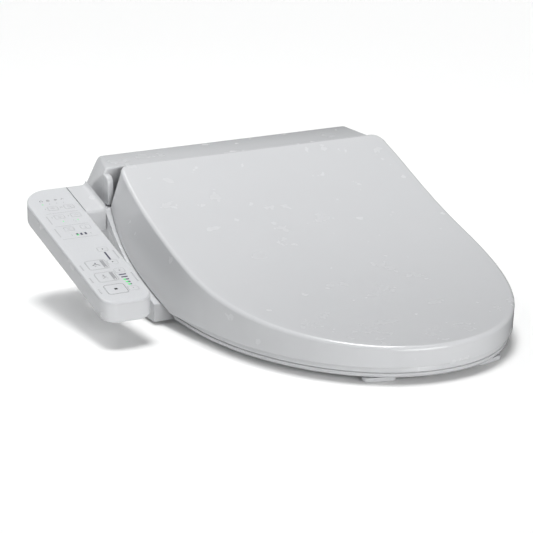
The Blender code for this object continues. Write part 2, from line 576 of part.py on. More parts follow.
# ------------------------------------------------------------------ wash wand
D = Vector((0.0, -math.cos(WAND_TILT), -math.sin(WAND_TILT)))     # outwards along the wand
N = Vector((0.0, -math.sin(WAND_TILT), math.cos(WAND_TILT)))      # across it, upwards
A = Vector((0.0, WAND_Y, WAND_Z))


def on_wand(s, t=0.0, x=0.0):
    return A + D * s + N * t + Vector((x, 0, 0))


def wand_rod(name, s0, s1, r, mat=None, cutter=False, t=0.0, seg=32, r2=None):
    return rod(name, on_wand((s0 + s1) / 2, t), D, r, s1 - s0, mat, cutter, seg, r2)


def side_outline(pts):
    """Outline given along and across the wand, as (y, z)."""
    return [tuple(on_wand(s, t).yz) for s, t in pts]


PITCH = math.pi * GEAR_M
GEAR_R = GEAR_M * GEAR_N / 2
PRESSURE = math.tan(math.radians(20))
SLACK = 0.00016            # each flank is thinned by this much
tube = wand_rod("wand_tube", -0.1350, -0.0140, WAND_R, SHELL)
teeth = [(-0.1340, 0.0060)]
base_t, tip_t = RACK_T - 0.0009, RACK_T + 0.00064
half = PITCH / 4 - SLACK
k = math.ceil((-0.1330 - PINION_S) / PITCH)
while True:
    c = PINION_S + (k + 0.5) * PITCH      # a space faces the pinion's tooth
    if c + PITCH / 2 > -0.0150:
        break
    lo_w, up_w = half + 0.0009 * PRESSURE, half - 0.00064 * PRESSURE
    teeth += [(c - lo_w, base_t), (c - up_w, tip_t), (c + up_w, tip_t), (c + lo_w, base_t)]
    k += 1
teeth = [(-0.1340, 0.0060), (-0.1340, base_t)] + teeth[1:] + [(-0.0150, base_t), (-0.0150, 0.0060)]
join(tube, slab("rack", side_outline(teeth), -0.0028, 0.0028, 'X', cutter=True))
cut(tube, wand_rod("wand_core", -0.1360, -0.0170, 0.0040, cutter=True, seg=20))
tip = wand_rod("nozzle_tip", -0.0137, -0.0042, 0.0072, SHELL)
cut(tip, rod("spray_hole_rear", on_wand(-0.0105, 0.004), N, 0.0008, 0.008, cutter=True, seg=10),
    rod("spray_hole_front", on_wand(-0.0075, 0.004), N, 0.0008, 0.008, cutter=True, seg=10))
shield = wand_rod("wand_shield", -0.0039, -0.0018, 0.0098, SHELL)
for ob in (tube, tip, shield):
    pivot(ob, tuple(A))
cradle = slab("wand_cradle", side_outline([(-0.1250, -0.0120), (-0.0130, -0.0120), (-0.0130, 0.0020), (-0.1250, 0.0020)]), -0.0125, 0.0125, 'X', GREY)
cut(cradle, wand_rod("cradle_bore", -0.1300, -0.0100, WAND_R + 0.0004, cutter=True),
    slab("cradle_mouth", side_outline([(-0.1300, 0.0), (-0.0100, 0.0), (-0.0100, 0.0060), (-0.1300, 0.0060)]), -0.0079, 0.0079, 'X', cutter=True))


def gear_outline(r_pitch, module, teeth_n, slack):
    """Involute spur gear outline about the origin, one tooth centred on -v."""
    rb = r_pitch * math.cos(math.radians(20))
    ra, rf = r_pitch + 0.8 * module, r_pitch - 1.1 * module
    half_t = math.pi / (2 * teeth_n) - slack / r_pitch
    inv0 = PRESSURE - math.radians(20)
    pts = []
    for i in range(teeth_n):
        mid = -math.pi / 2 + 2 * math.pi * i / teeth_n
        flank = []
        for j in range(5):
            r = max(rb, rf) + (ra - max(rb, rf)) * j / 4
            al = math.acos(min(1.0, rb / r))
            flank.append((r, half_t + inv0 - (math.tan(al) - al)))
        side = [(rf, flank[0][1] + 0.01)] + flank
        pts += [(r * math.cos(mid - w), r * math.sin(mid - w)) for r, w in side]
        pts += [(r * math.cos(mid + w), r * math.sin(mid + w)) for r, w in reversed(side)]
    return pts


P = on_wand(PINION_S, RACK_T + GEAR_R)
# the gear outline's -v axis must point at the rack, along -N
turn = math.atan2(N.z, N.y) - math.pi / 2
gear_pts = [(P.y + u * math.cos(turn) - v * math.sin(turn), P.z + u * math.sin(turn) + v * math.cos(turn))
            for u, v in gear_outline(GEAR_R, GEAR_M, GEAR_N, SLACK)]
pinion = slab("drive_pinion", gear_pts, -0.0030, 0.0030, 'X', DARK)
cut(pinion, rod("pinion_bore", tuple(P), (1, 0, 0), 0.0018, 0.02, cutter=True, seg=20))
pivot(pinion, tuple(P))
motor = rod("wand_motor", (0.0215, P.y, P.z), (1, 0, 0), 0.0088, 0.0250, GREY)
join(motor, rod("motor_shaft", (0.0040, P.y, P.z), (1, 0, 0), 0.0014, 0.0160, cutter=True, seg=16))

# ------------------------------------------------------------------ deodorizer
FAN = Vector((0.114, -0.0370, 0.0340))
fan_housing = block("fan_housing", 0.0980, 0.1300, -0.0610, -0.0130, 0.0128, 0.0560, GREY)
cut(fan_housing, rod("fan_bowl", (0.1160, FAN.y, FAN.z), (1, 0, 0), 0.0185, 0.0310, cutter=True),
    rod("fan_eye", (0.1000, FAN.y, FAN.z), (1, 0, 0), 0.0030, 0.0200, cutter=True, seg=16))
wheel = rod("fan_wheel", (0.1140, FAN.y, FAN.z), (1, 0, 0), 0.0165, 0.0180, DARK, seg=36)
cut(wheel, rod("wheel_hollow", (0.1175, FAN.y, FAN.z), (1, 0, 0), 0.0125, 0.0200, cutter=True, seg=36),
    rod("wheel_bore", (0.1100, FAN.y, FAN.z), (1, 0, 0), 0.0018, 0.0300, cutter=True, seg=16))
for i in range(12):
    t = 2 * math.pi * i / 12
    slot = block("blade_gap_%02d" % i, -0.0012, 0.0012, 0.0110, 0.0190, -0.0065, 0.0065, cutter=True)
    slot.data.transform(Matrix.Translation((0.1150, FAN.y, FAN.z)) @ Matrix.Rotation(t, 4, 'X') @ Matrix.Rotation(math.radians(90), 4, 'Y'))
    cut(wheel, slot)
pivot(wheel, tuple(FAN))
fan_motor = rod("fan_motor", (0.0857, FAN.y, FAN.z), (1, 0, 0), 0.0120, 0.0240, GREY)
join(fan_motor, rod("fan_shaft", (0.1030, FAN.y, FAN.z), (1, 0, 0), 0.0014, 0.0160, cutter=True, seg=16))
cartridge = block("deodorizer_filter", 0.1340, 0.1836, -0.0574, -0.0156, 0.0126, 0.0474, GREY)
cut(cartridge, block("cartridge_hollow", 0.1300, 0.1800, -0.0550, -0.0180, 0.0150, 0.0450, cutter=True))
for i in range(4):
    yy = -0.0505 + 0.0092 * i
    cut(cartridge, block("filter_vent_%d" % i, 0.1700, 0.1900, yy, yy + 0.0045, 0.0200, 0.0400, cutter=True))
pivot(cartridge, (0.1836, -0.0365, 0.0300))

# ------------------------------------------------------------------ water path and electronics
inlet = rod("water_inlet", (0.064, -0.0150, 0.030), (0, 1, 0), 0.0082, 0.0270, BRASS, seg=28)
cut(inlet, rod("inlet_bore", (0.064, -0.0080, 0.030), (0, 1, 0), 0.0058, 0.0200, cutter=True, seg=24))
strainer = rod("strainer_plug", (0.155, -0.0078, 0.030), (0, 1, 0), 0.0062, 0.0140, GREY, seg=28)
cut(strainer, block("coin_slot", 0.1500, 0.1600, -0.0025, 0.0050, 0.0293, 0.0307, cutter=True))
gland = rod("cord_gland", (-0.150, -0.0078, 0.030), (0, 1, 0), 0.0059, 0.0140, DARK, seg=28)
join(gland, rod("gland_flange", (-0.150, -0.0065, 0.030), (0, 1, 0), 0.0085, 0.0040, cutter=True, seg=28))
cut(gland, rod("gland_bore", (-0.150, -0.0078, 0.030), (0, 1, 0), 0.0034, 0.03, cutter=True, seg=20))
valve = block("solenoid_valve", 0.0200, 0.0550, -0.0560, -0.0200, 0.0128, 0.0340, GREY, bevel=0.001)
join(valve, rod("solenoid_coil", (0.0375, -0.0380, 0.0420), (0, 0, 1), 0.0120, 0.0180, cutter=True, seg=28))
exchanger = block("heat_exchanger", -0.1180, -0.0200, -0.0600, -0.0160, 0.0128, 0.0500, SHELL, bevel=0.002)
flow = rod("flow_valve", (-0.0750, -0.1000, 0.0270), (1, 0, 0), 0.0130, 0.0500, GREY, seg=28)
control = block("main_board", -0.1200, -0.0300, -0.2050, -0.1360, 0.0200, 0.0216, BOARD)
power = block("power_module", 0.0450, 0.1200, -0.2050, -0.1360, 0.0128, 0.0420, DARK, bevel=0.001)

# ------------------------------------------------------------------ release button
button = block("release_button", 0.1590, 0.1931, -0.1195, -0.1025, 0.0115, 0.0205, GREY)
pivot(button, (0.1931, -0.1110, 0.0160))

# ------------------------------------------------------------------ base plate
plate = slab("base_plate", rounded(-0.0900, 0.0900, -0.1252, -0.0250, 0.006, 3), 0.0, 0.0080, 'Z', STEEL)
for side, s in (("l", -1), ("r", 1)):
    cx = s * 0.0620
    cut(plate, slab("bolt_slot_" + side, rounded(cx - 0.0075, cx + 0.0075, -0.0950, -0.0550, 0.0070, 4), -0.01, 0.02, 'Z', cutter=True),
        slab("adjuster_pocket_" + side, rounded(cx - 0.0150, cx + 0.0150, -0.1000, -0.0500, 0.0050, 3), 0.0047, 0.02, 'Z', cutter=True))
    disc = slab("bolt_adjuster_" + side, rounded(cx - 0.0146, cx + 0.0146, -0.0996, -0.0504, 0.0046, 3), 0.0050, 0.0078, 'Z', GREY)
    cut(disc, slab("bolt_hole_" + side, rounded(cx - 0.0045, cx + 0.0045, -0.0870, -0.0640, 0.0044, 4), -0.01, 0.02, 'Z', cutter=True))

for ob in parts.objects:
    if ob.type == 'MESH':
        ob.data.shade_smooth()
        ob.data.set_sharp_from_angle(angle=math.radians(35))
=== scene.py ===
"""Looks of the electric bidet seat: fine shells, printed control panel, plastics, studio light and camera.

Helper coordinates count y from the rear face of the unit, as the part's own numbers do; V() moves them into
the row frame.
"""
import json
import math

import bpy
import bmesh
from mathutils import Matrix, Vector

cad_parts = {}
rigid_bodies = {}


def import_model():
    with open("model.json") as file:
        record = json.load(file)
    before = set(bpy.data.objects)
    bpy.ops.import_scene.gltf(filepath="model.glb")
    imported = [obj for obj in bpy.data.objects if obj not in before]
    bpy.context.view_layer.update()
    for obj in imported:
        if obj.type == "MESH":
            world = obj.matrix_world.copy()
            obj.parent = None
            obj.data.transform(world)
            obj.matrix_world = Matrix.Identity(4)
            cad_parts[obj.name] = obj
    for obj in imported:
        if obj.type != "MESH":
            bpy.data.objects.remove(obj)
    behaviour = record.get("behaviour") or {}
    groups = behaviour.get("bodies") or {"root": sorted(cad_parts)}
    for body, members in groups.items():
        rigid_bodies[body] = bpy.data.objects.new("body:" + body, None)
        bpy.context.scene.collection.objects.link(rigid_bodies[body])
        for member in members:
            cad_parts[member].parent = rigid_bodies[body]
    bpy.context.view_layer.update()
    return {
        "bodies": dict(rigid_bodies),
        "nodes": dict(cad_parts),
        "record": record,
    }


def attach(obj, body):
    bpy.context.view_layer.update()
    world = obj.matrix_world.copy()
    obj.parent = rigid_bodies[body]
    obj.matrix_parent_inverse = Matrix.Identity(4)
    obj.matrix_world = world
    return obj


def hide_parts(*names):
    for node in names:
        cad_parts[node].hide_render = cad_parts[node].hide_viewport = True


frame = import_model()
NODES = frame["nodes"]
B = 0.110


def V(x, y, z):
    return (x, y + B, z)


# ------------------------------------------------------------------ materials
def plastic(name, light, dark, rough, spread=0.04, scale=9.0, grain=2200.0, bump=0.02, bevel=0.0, metal=0.0, coat=0.0,
            coat_rough=0.08, ior=1.47, speck=0.0):
    """Moulded plastic or metal: faint cloudiness, uneven gloss, fine grain, softened edges."""
    m = bpy.data.materials.new(name)
    m.use_nodes = True
    nt = m.node_tree
    ns, ln = nt.nodes, nt.links
    b = ns["Principled BSDF"]
    b.inputs["Metallic"].default_value = metal
    b.inputs["IOR"].default_value = ior
    b.inputs["Coat Weight"].default_value = coat
    b.inputs["Coat Roughness"].default_value = coat_rough
    tc = ns.new("ShaderNodeTexCoord")
    cloud = ns.new("ShaderNodeTexNoise")
    cloud.inputs["Scale"].default_value = scale
    cloud.inputs["Detail"].default_value = 3.0
    ln.new(tc.outputs["Object"], cloud.inputs["Vector"])
    mix = ns.new("ShaderNodeMix")
    mix.data_type = "RGBA"
    mix.inputs["A"].default_value = (*dark, 1)
    mix.inputs["B"].default_value = (*light, 1)
    ln.new(cloud.outputs["Fac"], mix.inputs["Factor"])
    colour = mix.outputs["Result"]
    if speck > 0.0:
        sp = ns.new("ShaderNodeTexNoise")
        sp.inputs["Scale"].default_value = 700.0
        sp.inputs["Detail"].default_value = 1.0
        ln.new(tc.outputs["Object"], sp.inputs["Vector"])
        mr = ns.new("ShaderNodeMapRange")
        mr.inputs["From Min"].default_value = 0.3
        mr.inputs["From Max"].default_value = 0.7
        mr.inputs["To Min"].default_value = 1.0 - speck
        mr.inputs["To Max"].default_value = 1.0 + speck
        ln.new(sp.outputs["Fac"], mr.inputs["Value"])
        mul = ns.new("ShaderNodeMix")
        mul.data_type = "RGBA"
        mul.blend_type = "MULTIPLY"
        mul.inputs["Factor"].default_value = 1.0
        ln.new(colour, mul.inputs["A"])
        ln.new(mr.outputs["Result"], mul.inputs["B"])
        colour = mul.outputs["Result"]
    ln.new(colour, b.inputs["Base Color"])
    wear = ns.new("ShaderNodeTexNoise")
    wear.inputs["Scale"].default_value = scale * 4.0
    wear.inputs["Detail"].default_value = 4.0
    ln.new(tc.outputs["Object"], wear.inputs["Vector"])
    rr = ns.new("ShaderNodeMapRange")
    rr.inputs["From Min"].default_value = 0.3
    rr.inputs["From Max"].default_value = 0.7
    rr.inputs["To Min"].default_value = rough - spread
    rr.inputs["To Max"].default_value = rough + spread
    ln.new(wear.outputs["Fac"], rr.inputs["Value"])
    ln.new(rr.outputs["Result"], b.inputs["Roughness"])
    fine = ns.new("ShaderNodeTexNoise")
    fine.inputs["Scale"].default_value = grain
    fine.inputs["Detail"].default_value = 2.0
    ln.new(tc.outputs["Object"], fine.inputs["Vector"])
    bp = ns.new("ShaderNodeBump")
    bp.inputs["Strength"].default_value = bump
    bp.inputs["Distance"].default_value = 0.0002
    ln.new(fine.outputs["Fac"], bp.inputs["Height"])
    if bevel > 0.0:
        bv = ns.new("ShaderNodeBevel")
        bv.samples = 4
        bv.inputs["Radius"].default_value = bevel
        ln.new(bv.outputs["Normal"], bp.inputs["Normal"])
    ln.new(bp.outputs["Normal"], b.inputs["Normal"])
    return m


WHITE_L, WHITE_D = (0.610, 0.616, 0.628), (0.588, 0.595, 0.608)
M = {
    "shell": plastic("white_gloss_shell", WHITE_L, WHITE_D, 0.26, 0.02, grain=1500, bump=0.03, coat=0.5, coat_rough=0.08),
    "shell_cad": plastic("white_gloss_cad", WHITE_L, WHITE_D, 0.26, 0.03, grain=1500, bump=0.03, bevel=0.0007, coat=0.25),
    "panel": plastic("panel_satin", (0.590, 0.598, 0.612), (0.570, 0.578, 0.593), 0.38, 0.02, scale=14, grain=2600, bump=0.06, speck=0.02),
    "inner": plastic("inner_white", (0.62, 0.63, 0.64), (0.57, 0.58, 0.59), 0.45, 0.05, bevel=0.0005, speck=0.02),
    "grey": plastic("grey_plastic", (0.30, 0.31, 0.33), (0.24, 0.25, 0.27), 0.48, 0.06, scale=20, bump=0.15, bevel=0.0005, speck=0.05),
    "dark": plastic("dark_plastic", (0.045, 0.046, 0.052), (0.03, 0.03, 0.036), 0.42, 0.06, scale=20, bump=0.15, bevel=0.0004, speck=0.06),
    "rubber": plastic("rubber_grey", (0.47, 0.47, 0.46), (0.40, 0.40, 0.40), 0.78, 0.06, scale=30, grain=900, bump=0.25, speck=0.06),
    "steel": plastic("zinc_plate", (0.66, 0.67, 0.69), (0.54, 0.55, 0.58), 0.32, 0.08, scale=26, grain=600, bump=0.12, bevel=0.0004, metal=1.0, speck=0.06),
    "brass": plastic("brass_fitting", (0.78, 0.60, 0.30), (0.66, 0.49, 0.23), 0.28, 0.07, scale=24, grain=700, bump=0.1, bevel=0.0003, metal=1.0),
    "board": plastic("circuit_board", (0.04, 0.20, 0.09), (0.02, 0.13, 0.06), 0.5, 0.08, scale=90, grain=500, bump=0.2, bevel=0.0003, speck=0.15),
    "foil": plastic("heater_foil", (0.74, 0.75, 0.76), (0.60, 0.61, 0.63), 0.3, 0.08, scale=60, grain=300, bump=0.3, metal=1.0),
    "ink": plastic("grey_print", (0.13, 0.13, 0.145), (0.10, 0.10, 0.115), 0.5, 0.03, scale=60, bump=0.02),
    "ink_soft": plastic("soft_grey_print", (0.33, 0.335, 0.345), (0.29, 0.295, 0.305), 0.5, 0.03, scale=60, bump=0.02),
    "ink_black": plastic("black_print", (0.018, 0.018, 0.020), (0.010, 0.010, 0.012), 0.4, 0.03, scale=60, bump=0.02),
    "bar": plastic("level_bar", (0.065, 0.065, 0.105), (0.045, 0.045, 0.080), 0.35, 0.03, scale=60, bump=0.02),
}
green = plastic("green_led", (0.10, 0.62, 0.18), (0.06, 0.50, 0.13), 0.35, 0.03, scale=400, bump=0.02)
_b = green.node_tree.nodes["Principled BSDF"]
_b.inputs["Emission Color"].default_value = (0.05, 0.75, 0.16, 1)
_b.inputs["Emission Strength"].default_value = 0.35
M["green"] = green

CAD_SLOT = {"white_gloss": "shell_cad", "panel_satin": "panel", "inner_white": "inner", "grey_plastic": "grey", "dark_plastic": "dark",
            "rubber_grey": "rubber", "steel": "steel", "brass": "brass", "circuit_board": "board", "heater_foil": "foil"}
RECORD_SLOT = {"shell": "shell_cad", "panel": "panel", "inner": "inner", "grey": "grey", "dark": "dark", "rubber": "rubber",
               "steel": "steel", "brass": "brass", "board": "board", "foil": "foil"}
slot_of = {}
for mat in frame["record"].get("materials", []):
    for n in mat.get("nodes", []) or []:
        slot_of[n] = mat.get("slot")
for name, ob in NODES.items():
    key = RECORD_SLOT.get(slot_of.get(name), None)
    if key is None and ob.data.materials and ob.data.materials[0]:
        key = CAD_SLOT.get(ob.data.materials[0].name.split(".")[0])
    ob.data.materials.clear()
    ob.data.materials.append(M[key or "shell_cad"])


# ------------------------------------------------------------------ mesh helpers
def finish_mesh(name, bm, mat, body, replaces=(), angle=32.0, merge=0.0):
    if merge > 0.0:
        bmesh.ops.remove_doubles(bm, verts=bm.verts, dist=merge)
    bmesh.ops.recalc_face_normals(bm, faces=bm.faces)
    me = bpy.data.meshes.new(name)
    bm.to_mesh(me)
    bm.free()
    me.shade_smooth()
    if angle < 180.0:
        me.set_sharp_from_angle(angle=math.radians(angle))
    ob = bpy.data.objects.new(name, me)
    bpy.context.scene.collection.objects.link(ob)
    me.materials.append(M[mat])
    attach(ob, body)
    if replaces:
        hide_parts(*replaces)
    return ob


def bridge(bm, rows, closed=True):
    for r0, r1 in zip(rows, rows[1:]):
        n = len(r0)
        for i in range(n if closed else n - 1):
            j = (i + 1) % n
            if r0[i] is r0[j] and r1[i] is r1[j]:
                continue
            vs = []
            for v in (r0[i], r0[j], r1[j], r1[i]):
                if v not in vs:
                    vs.append(v)
            if len(vs) >= 3:
                bm.faces.new(vs)


def row(bm, pts):
    return [bm.verts.new(V(*p)) for p in pts]


def offset(pts, d):
    n, out = len(pts), []
    for i in range(n):
        a, b, c = Vector(pts[i - 1]), Vector(pts[i]), Vector(pts[(i + 1) % n])
        e = ((b - a).normalized() + (c - b).normalized()).normalized()
        nrm = Vector((-e.y, e.x))
        k = max(0.5, abs(nrm.dot(Vector((-(b - a).normalized().y, (b - a).normalized().x)))))
        out.append(tuple(b + nrm * d / k))
    return out


def rounded(x0, x1, y0, y1, r, n=8):
    pts = []
    for cx, cy, a in ((x1 - r, y1 - r, 0), (x0 + r, y1 - r, 90), (x0 + r, y0 + r, 180), (x1 - r, y0 + r, 270)):
        for i in range(n + 1):
            t = math.radians(a + 90.0 * i / n)
            pts.append((cx + r * math.cos(t), cy + r * math.sin(t)))
    return pts


def hull(points):
    bm = bmesh.new()
    for p in points:
        bm.verts.new(V(*p))
    bmesh.ops.convex_hull(bm, input=bm.verts)
    bmesh.ops.dissolve_limit(bm, angle_limit=math.radians(0.5), verts=bm.verts, edges=bm.edges)
    return bm


def bevelled(bm, width, segments=4, angle=12.0):
    """Round every real edge of a mesh."""
    edges = [e for e in bm.edges if len(e.link_faces) == 2 and e.calc_face_angle(0.0) > math.radians(angle)]
    bmesh.ops.bevel(bm, geom=edges, offset=width, segments=segments, profile=0.5, affect="EDGES", clamp_overlap=True)
    return bm


# ------------------------------------------------------------------ numbers shared with the part
DEPTH, LID_REAR, LID_HALF_W, LID_WIDE_Y = 0.5283, -0.0781, 0.177, -0.265
LID_NECK, LID_EXP, LID_TIP_Z = 0.0072, 2.06, 0.0394
LID_RISE = (0.022, 0.024, 0.098, -0.034)
LID_T, SKIRT_Z, SKIRT_RISE, UNIT_FRONT = 0.0026, 0.0167, 0.055, -0.2165
LID_FLARE, LID_CORNER = 0.0145, 0.014
HINGE_Y, HINGE_Z = -0.088, 0.130
SEAT_Z0, SEAT_SPLIT, SEAT_REAR = 0.0046, 0.0098, -0.2205
HOLE_Y, HOLE_RX, HOLE_RY = -0.356, 0.108, 0.119
ARM_X0, ARM_X1, ARM_Y0, ARM_Y1 = -0.276, -0.2167, -0.0333, -0.2736
ARM_TOP, ARM_SLOPE, ARM_H = 0.1187, 0.2796, 0.0247
ARM_R = (0.0005, 0.0330, 0.0155, 0.0170)
LINK_X, LINK_Y, PANEL_T = -0.1925, -0.0906, 0.0027
SMALL_KEY, LARGE_KEY = (0.0121, 0.0088), (0.0241, 0.0191)
KEYS = {
    "switch_rear_wash": (-0.2518, -0.1989, LARGE_KEY), "switch_front_wash": (-0.2518, -0.2240, LARGE_KEY),
    "switch_stop": (-0.2518, -0.2490, LARGE_KEY), "switch_position_back": (-0.2324, -0.1701, SMALL_KEY),
    "switch_position_front": (-0.2324, -0.1973, SMALL_KEY), "switch_pressure_up": (-0.2324, -0.2152, SMALL_KEY),
    "switch_pressure_down": (-0.2324, -0.2516, SMALL_KEY), "switch_air_dry": (-0.2513, -0.0757, SMALL_KEY),
    "switch_deodorizer": (-0.2313, -0.0757, SMALL_KEY), "switch_seat_heat": (-0.2513, -0.0947, SMALL_KEY),
    "switch_water_heat": (-0.2313, -0.0947, SMALL_KEY), "switch_energy_saver": (-0.2513, -0.1214, SMALL_KEY),
    "switch_wand_clean": (-0.2313, -0.1214, SMALL_KEY)}


def lid_width(y):
    if y >= LID_WIDE_Y:
        t = (y - LID_WIDE_Y) / (LID_REAR - LID_WIDE_Y)
        return LID_HALF_W - LID_NECK * t ** 6
    t = min(1.0, (LID_WIDE_Y - y) / (LID_WIDE_Y + DEPTH))
    return LID_HALF_W * max(0.0, 1.0 - t ** LID_EXP) ** (1.0 / LID_EXP)


def lid_top(y):
    u = (y + DEPTH) / (DEPTH + LID_REAR)
    a, b, c, d = LID_RISE
    return LID_TIP_Z + a * u + b * u ** 2 + c * u ** 3 + d * u ** 4


def lid_low(y):
    t = min(1.0, max(0.0, (y + 0.2386) / 0.1506))
    return SKIRT_Z + SKIRT_RISE * t + 0.031 * t ** 4


def lid_flare(y):
    t = min(1.0, max(0.0, (y + 0.300) / 0.210))
    return LID_FLARE * (1.0 - (1.0 - t) ** 1.8)


def wing_top(y):
    return min(0.1008, lid_low(y) - 0.0018)


def half_outline(front=60, side=30, corner=10, r=LID_CORNER):
    pts = []
    for i in range(1, front + 1):
        t = math.radians(90.0 * i / front)
        y = LID_WIDE_Y - (LID_WIDE_Y + DEPTH) * math.cos(t)
        pts.append((lid_width(y), y))
    for i in range(1, side + 1):
        y = LID_WIDE_Y + (LID_REAR - r - 0.001 - LID_WIDE_Y) * i / side
        pts.append((lid_width(y), y))
    w = lid_width(LID_REAR - r)
    for i in range(1, corner + 1):
        t = math.radians(90.0 * i / corner)
        pts.append((w - r + r * math.cos(t), LID_REAR - r + r * math.sin(t)))
    return pts


HALF = half_outline()
LOOP = [(0.0, -DEPTH)] + HALF + [(-x, y) for x, y in reversed(HALF)]
EDGE_R, DRAFT = 0.0046, 0.0013


# ------------------------------------------------------------------ lid
def lid():
    n, m = len(LOOP), len(HALF)
    bm = bmesh.new()
    w_rear = lid_width(LID_REAR - LID_CORNER)

    def on_side(p):
        return p[1] < LID_REAR - LID_CORNER or abs(p[0]) > w_rear - 0.0060

    def low(p):
        return lid_low(min(p[1], -0.0865)) if on_side(p) else max(lid_low(p[1]), lid_top(p[1]) - 0.0058)

    def lean(points, share):
        """Points moved out with the spread of the skirt; share is 0 at its top and 1 at its foot."""
        out = []
        for p, q in zip(LOOP, points):
            if on_side(p) and abs(p[0]) > 0.02:
                out.append((q[0] + math.copysign(lid_flare(p[1]) * share, p[0]), q[1]))
            else:
                out.append(q)
        return out

    def draft(p):
        return DRAFT if p[1] < LID_REAR - 0.02 else DRAFT * max(0.0, (LID_REAR - p[1]) / 0.02)

    rows = []
    inner = offset(LOOP, LID_T)
    tops = [lid_top(p[1]) - EDGE_R for p in LOOP]
    lows = [low(p) for p in LOOP]
    # inside wall, from the roof down to the lip
    ins = [lid_top(q[1]) - EDGE_R - 0.0006 for q in inner]
    rows.append(row(bm, [(q[0], q[1], z) for q, z in zip(inner, ins)]))
    deep = lean(offset(LOOP, LID_T + 0.0004), 0.985)
    rows.append(row(bm, [(q[0], q[1], min(z + 0.0007, t)) for q, z, t in zip(deep, lows, ins)]))
    lip_in = lean(offset(LOOP, LID_T), 1.0)
    rows.append(row(bm, [(q[0], q[1], z + 0.00015) for q, z in zip(lip_in, lows)]))
    # rounded lip
    for k in range(5):
        t = math.radians(90.0 * k / 4)
        rr = 0.0008
        ring = lean(offset(LOOP, DRAFT + rr - rr * math.sin(t)), 1.0)
        rows.append(row(bm, [(q[0], q[1], z + rr - rr * math.cos(t)) for q, z in zip(ring, lows)]))
    # drafted side wall
    rings = [lean(offset(LOOP, DRAFT * (1.0 - s)), 1.0 - s) for s in (0.25, 0.5, 0.75)]
    for s, ring in zip((0.25, 0.5, 0.75), rings):
        rows.append(row(bm, [(q[0], q[1], z + 0.0008 + (t - z - 0.0008) * s) for q, z, t in zip(ring, lows, tops)]))
    # rounded upper edge
    for k in range(0, 11):
        t = math.radians(90.0 * k / 10)
        ring = offset(LOOP, EDGE_R * (1.0 - math.cos(t)))
        rows.append(row(bm, [(q[0], q[1], lid_top(q[1]) - EDGE_R + EDGE_R * math.sin(t)) for q in ring]))
    bridge(bm, rows)

    def ladder(ring_row, z_of, cols):
        """Strips of quads from side to side."""
        prev = None
        for k in range(1, m + 1):
            a, b = ring_row[k], ring_row[n - k]
            line = [a]
            for c in range(1, cols):
                f = c / cols
                x = a.co.x + (b.co.x - a.co.x) * f
                yy = a.co.y + (b.co.y - a.co.y) * f
                line.append(bm.verts.new((x, yy, z_of(yy - B))))
            line.append(b)
            if prev is None:
                tip = ring_row[0]
                for c in range(cols):
                    bm.faces.new((tip, line[c], line[c + 1]))
            else:
                for c in range(cols):
                    vs = []
                    for v in (prev[c], line[c], line[c + 1], prev[c + 1]):
                        if v not in vs:
                            vs.append(v)
                    if len(vs) > 2:
                        bm.faces.new(vs)
            prev = line

    ladder(rows[-1], lid_top, 26)
    ladder(rows[0], lambda y: lid_top(y) - EDGE_R - 0.0006, 14)
    return finish_mesh("lid_cover", bm, "shell", "lid", ("lid_shell",), angle=50.0)


lid_ob = lid()


def eye(name, body, x0, x1, bore_r, outer_r, mat="shell", seg=40):
    """Hinge eye: a bored boss with eased rims."""
    prof = [(x0 + 0.0005, outer_r), (x0, outer_r - 0.0005), (x0, bore_r + 0.0003), (x0 + 0.0003, bore_r), (x1 - 0.0003, bore_r),
            (x1, bore_r + 0.0003), (x1, outer_r - 0.0005), (x1 - 0.0005, outer_r)]
    bm = bmesh.new()
    rows = [[bm.verts.new(V(x, HINGE_Y + r * math.cos(2 * math.pi * i / seg), HINGE_Z + r * math.sin(2 * math.pi * i / seg)))
             for i in range(seg)] for x, r in prof]
    rows.append(rows[0])
    bridge(bm, rows)
    return finish_mesh(name, bm, mat, body)


for side, s in (("l", -1), ("r", 1)):
    xa, xb = sorted((s * 0.1525, s * 0.1640))
    eye("lid_hinge_eye_" + side, "lid", xa, xb, 0.0043, 0.0085)
    pts = []
    for x in (xa, xb):
        pts += [(x, -0.0975, HINGE_Z - 0.0035), (x, -0.0905, HINGE_Z - 0.0078), (x, -0.0966, lid_top(-0.0966) - 0.0030), (x, -0.0805, lid_top(-0.0805) - 0.0030),
                (x, -0.0802, HINGE_Z + 0.0040)]
    bm = hull(pts)
    bevelled(bm, 0.0006, 2)
    web = finish_mesh("lid_hinge_web_" + side, bm, "shell", "lid")
    hole = bmesh.new()
    bmesh.ops.create_cone(hole, cap_ends=True, segments=40, radius1=0.0046, radius2=0.0046, depth=0.05,
                          matrix=Matrix.Translation(V(s * 0.158, HINGE_Y, HINGE_Z)) @ Matrix.Rotation(math.radians(90), 4, 'Y'))
    tool = bpy.data.objects.new("web_bore_tool", bpy.data.meshes.new("web_bore_tool"))
    hole.to_mesh(tool.data)
    hole.free()
    bpy.context.scene.collection.objects.link(tool)
    md = web.modifiers.new("bore", "BOOLEAN")
    md.operation, md.object, md.solver = "DIFFERENCE", tool, "EXACT"
    bpy.context.view_layer.update()
    baked = bpy.data.meshes.new_from_object(web.evaluated_get(bpy.context.evaluated_depsgraph_get()))
    web.modifiers.clear()
    web.data = baked
    baked.set_sharp_from_angle(angle=math.radians(32))
    bpy.data.objects.remove(tool, do_unlink=True)


# ------------------------------------------------------------------ seat
def seat_top(y):
    t = max(0.0, min(1.0, (y + 0.46) / (0.46 + SEAT_REAR)))
    return 0.0340 + 0.016 * t * t * (3 - 2 * t)


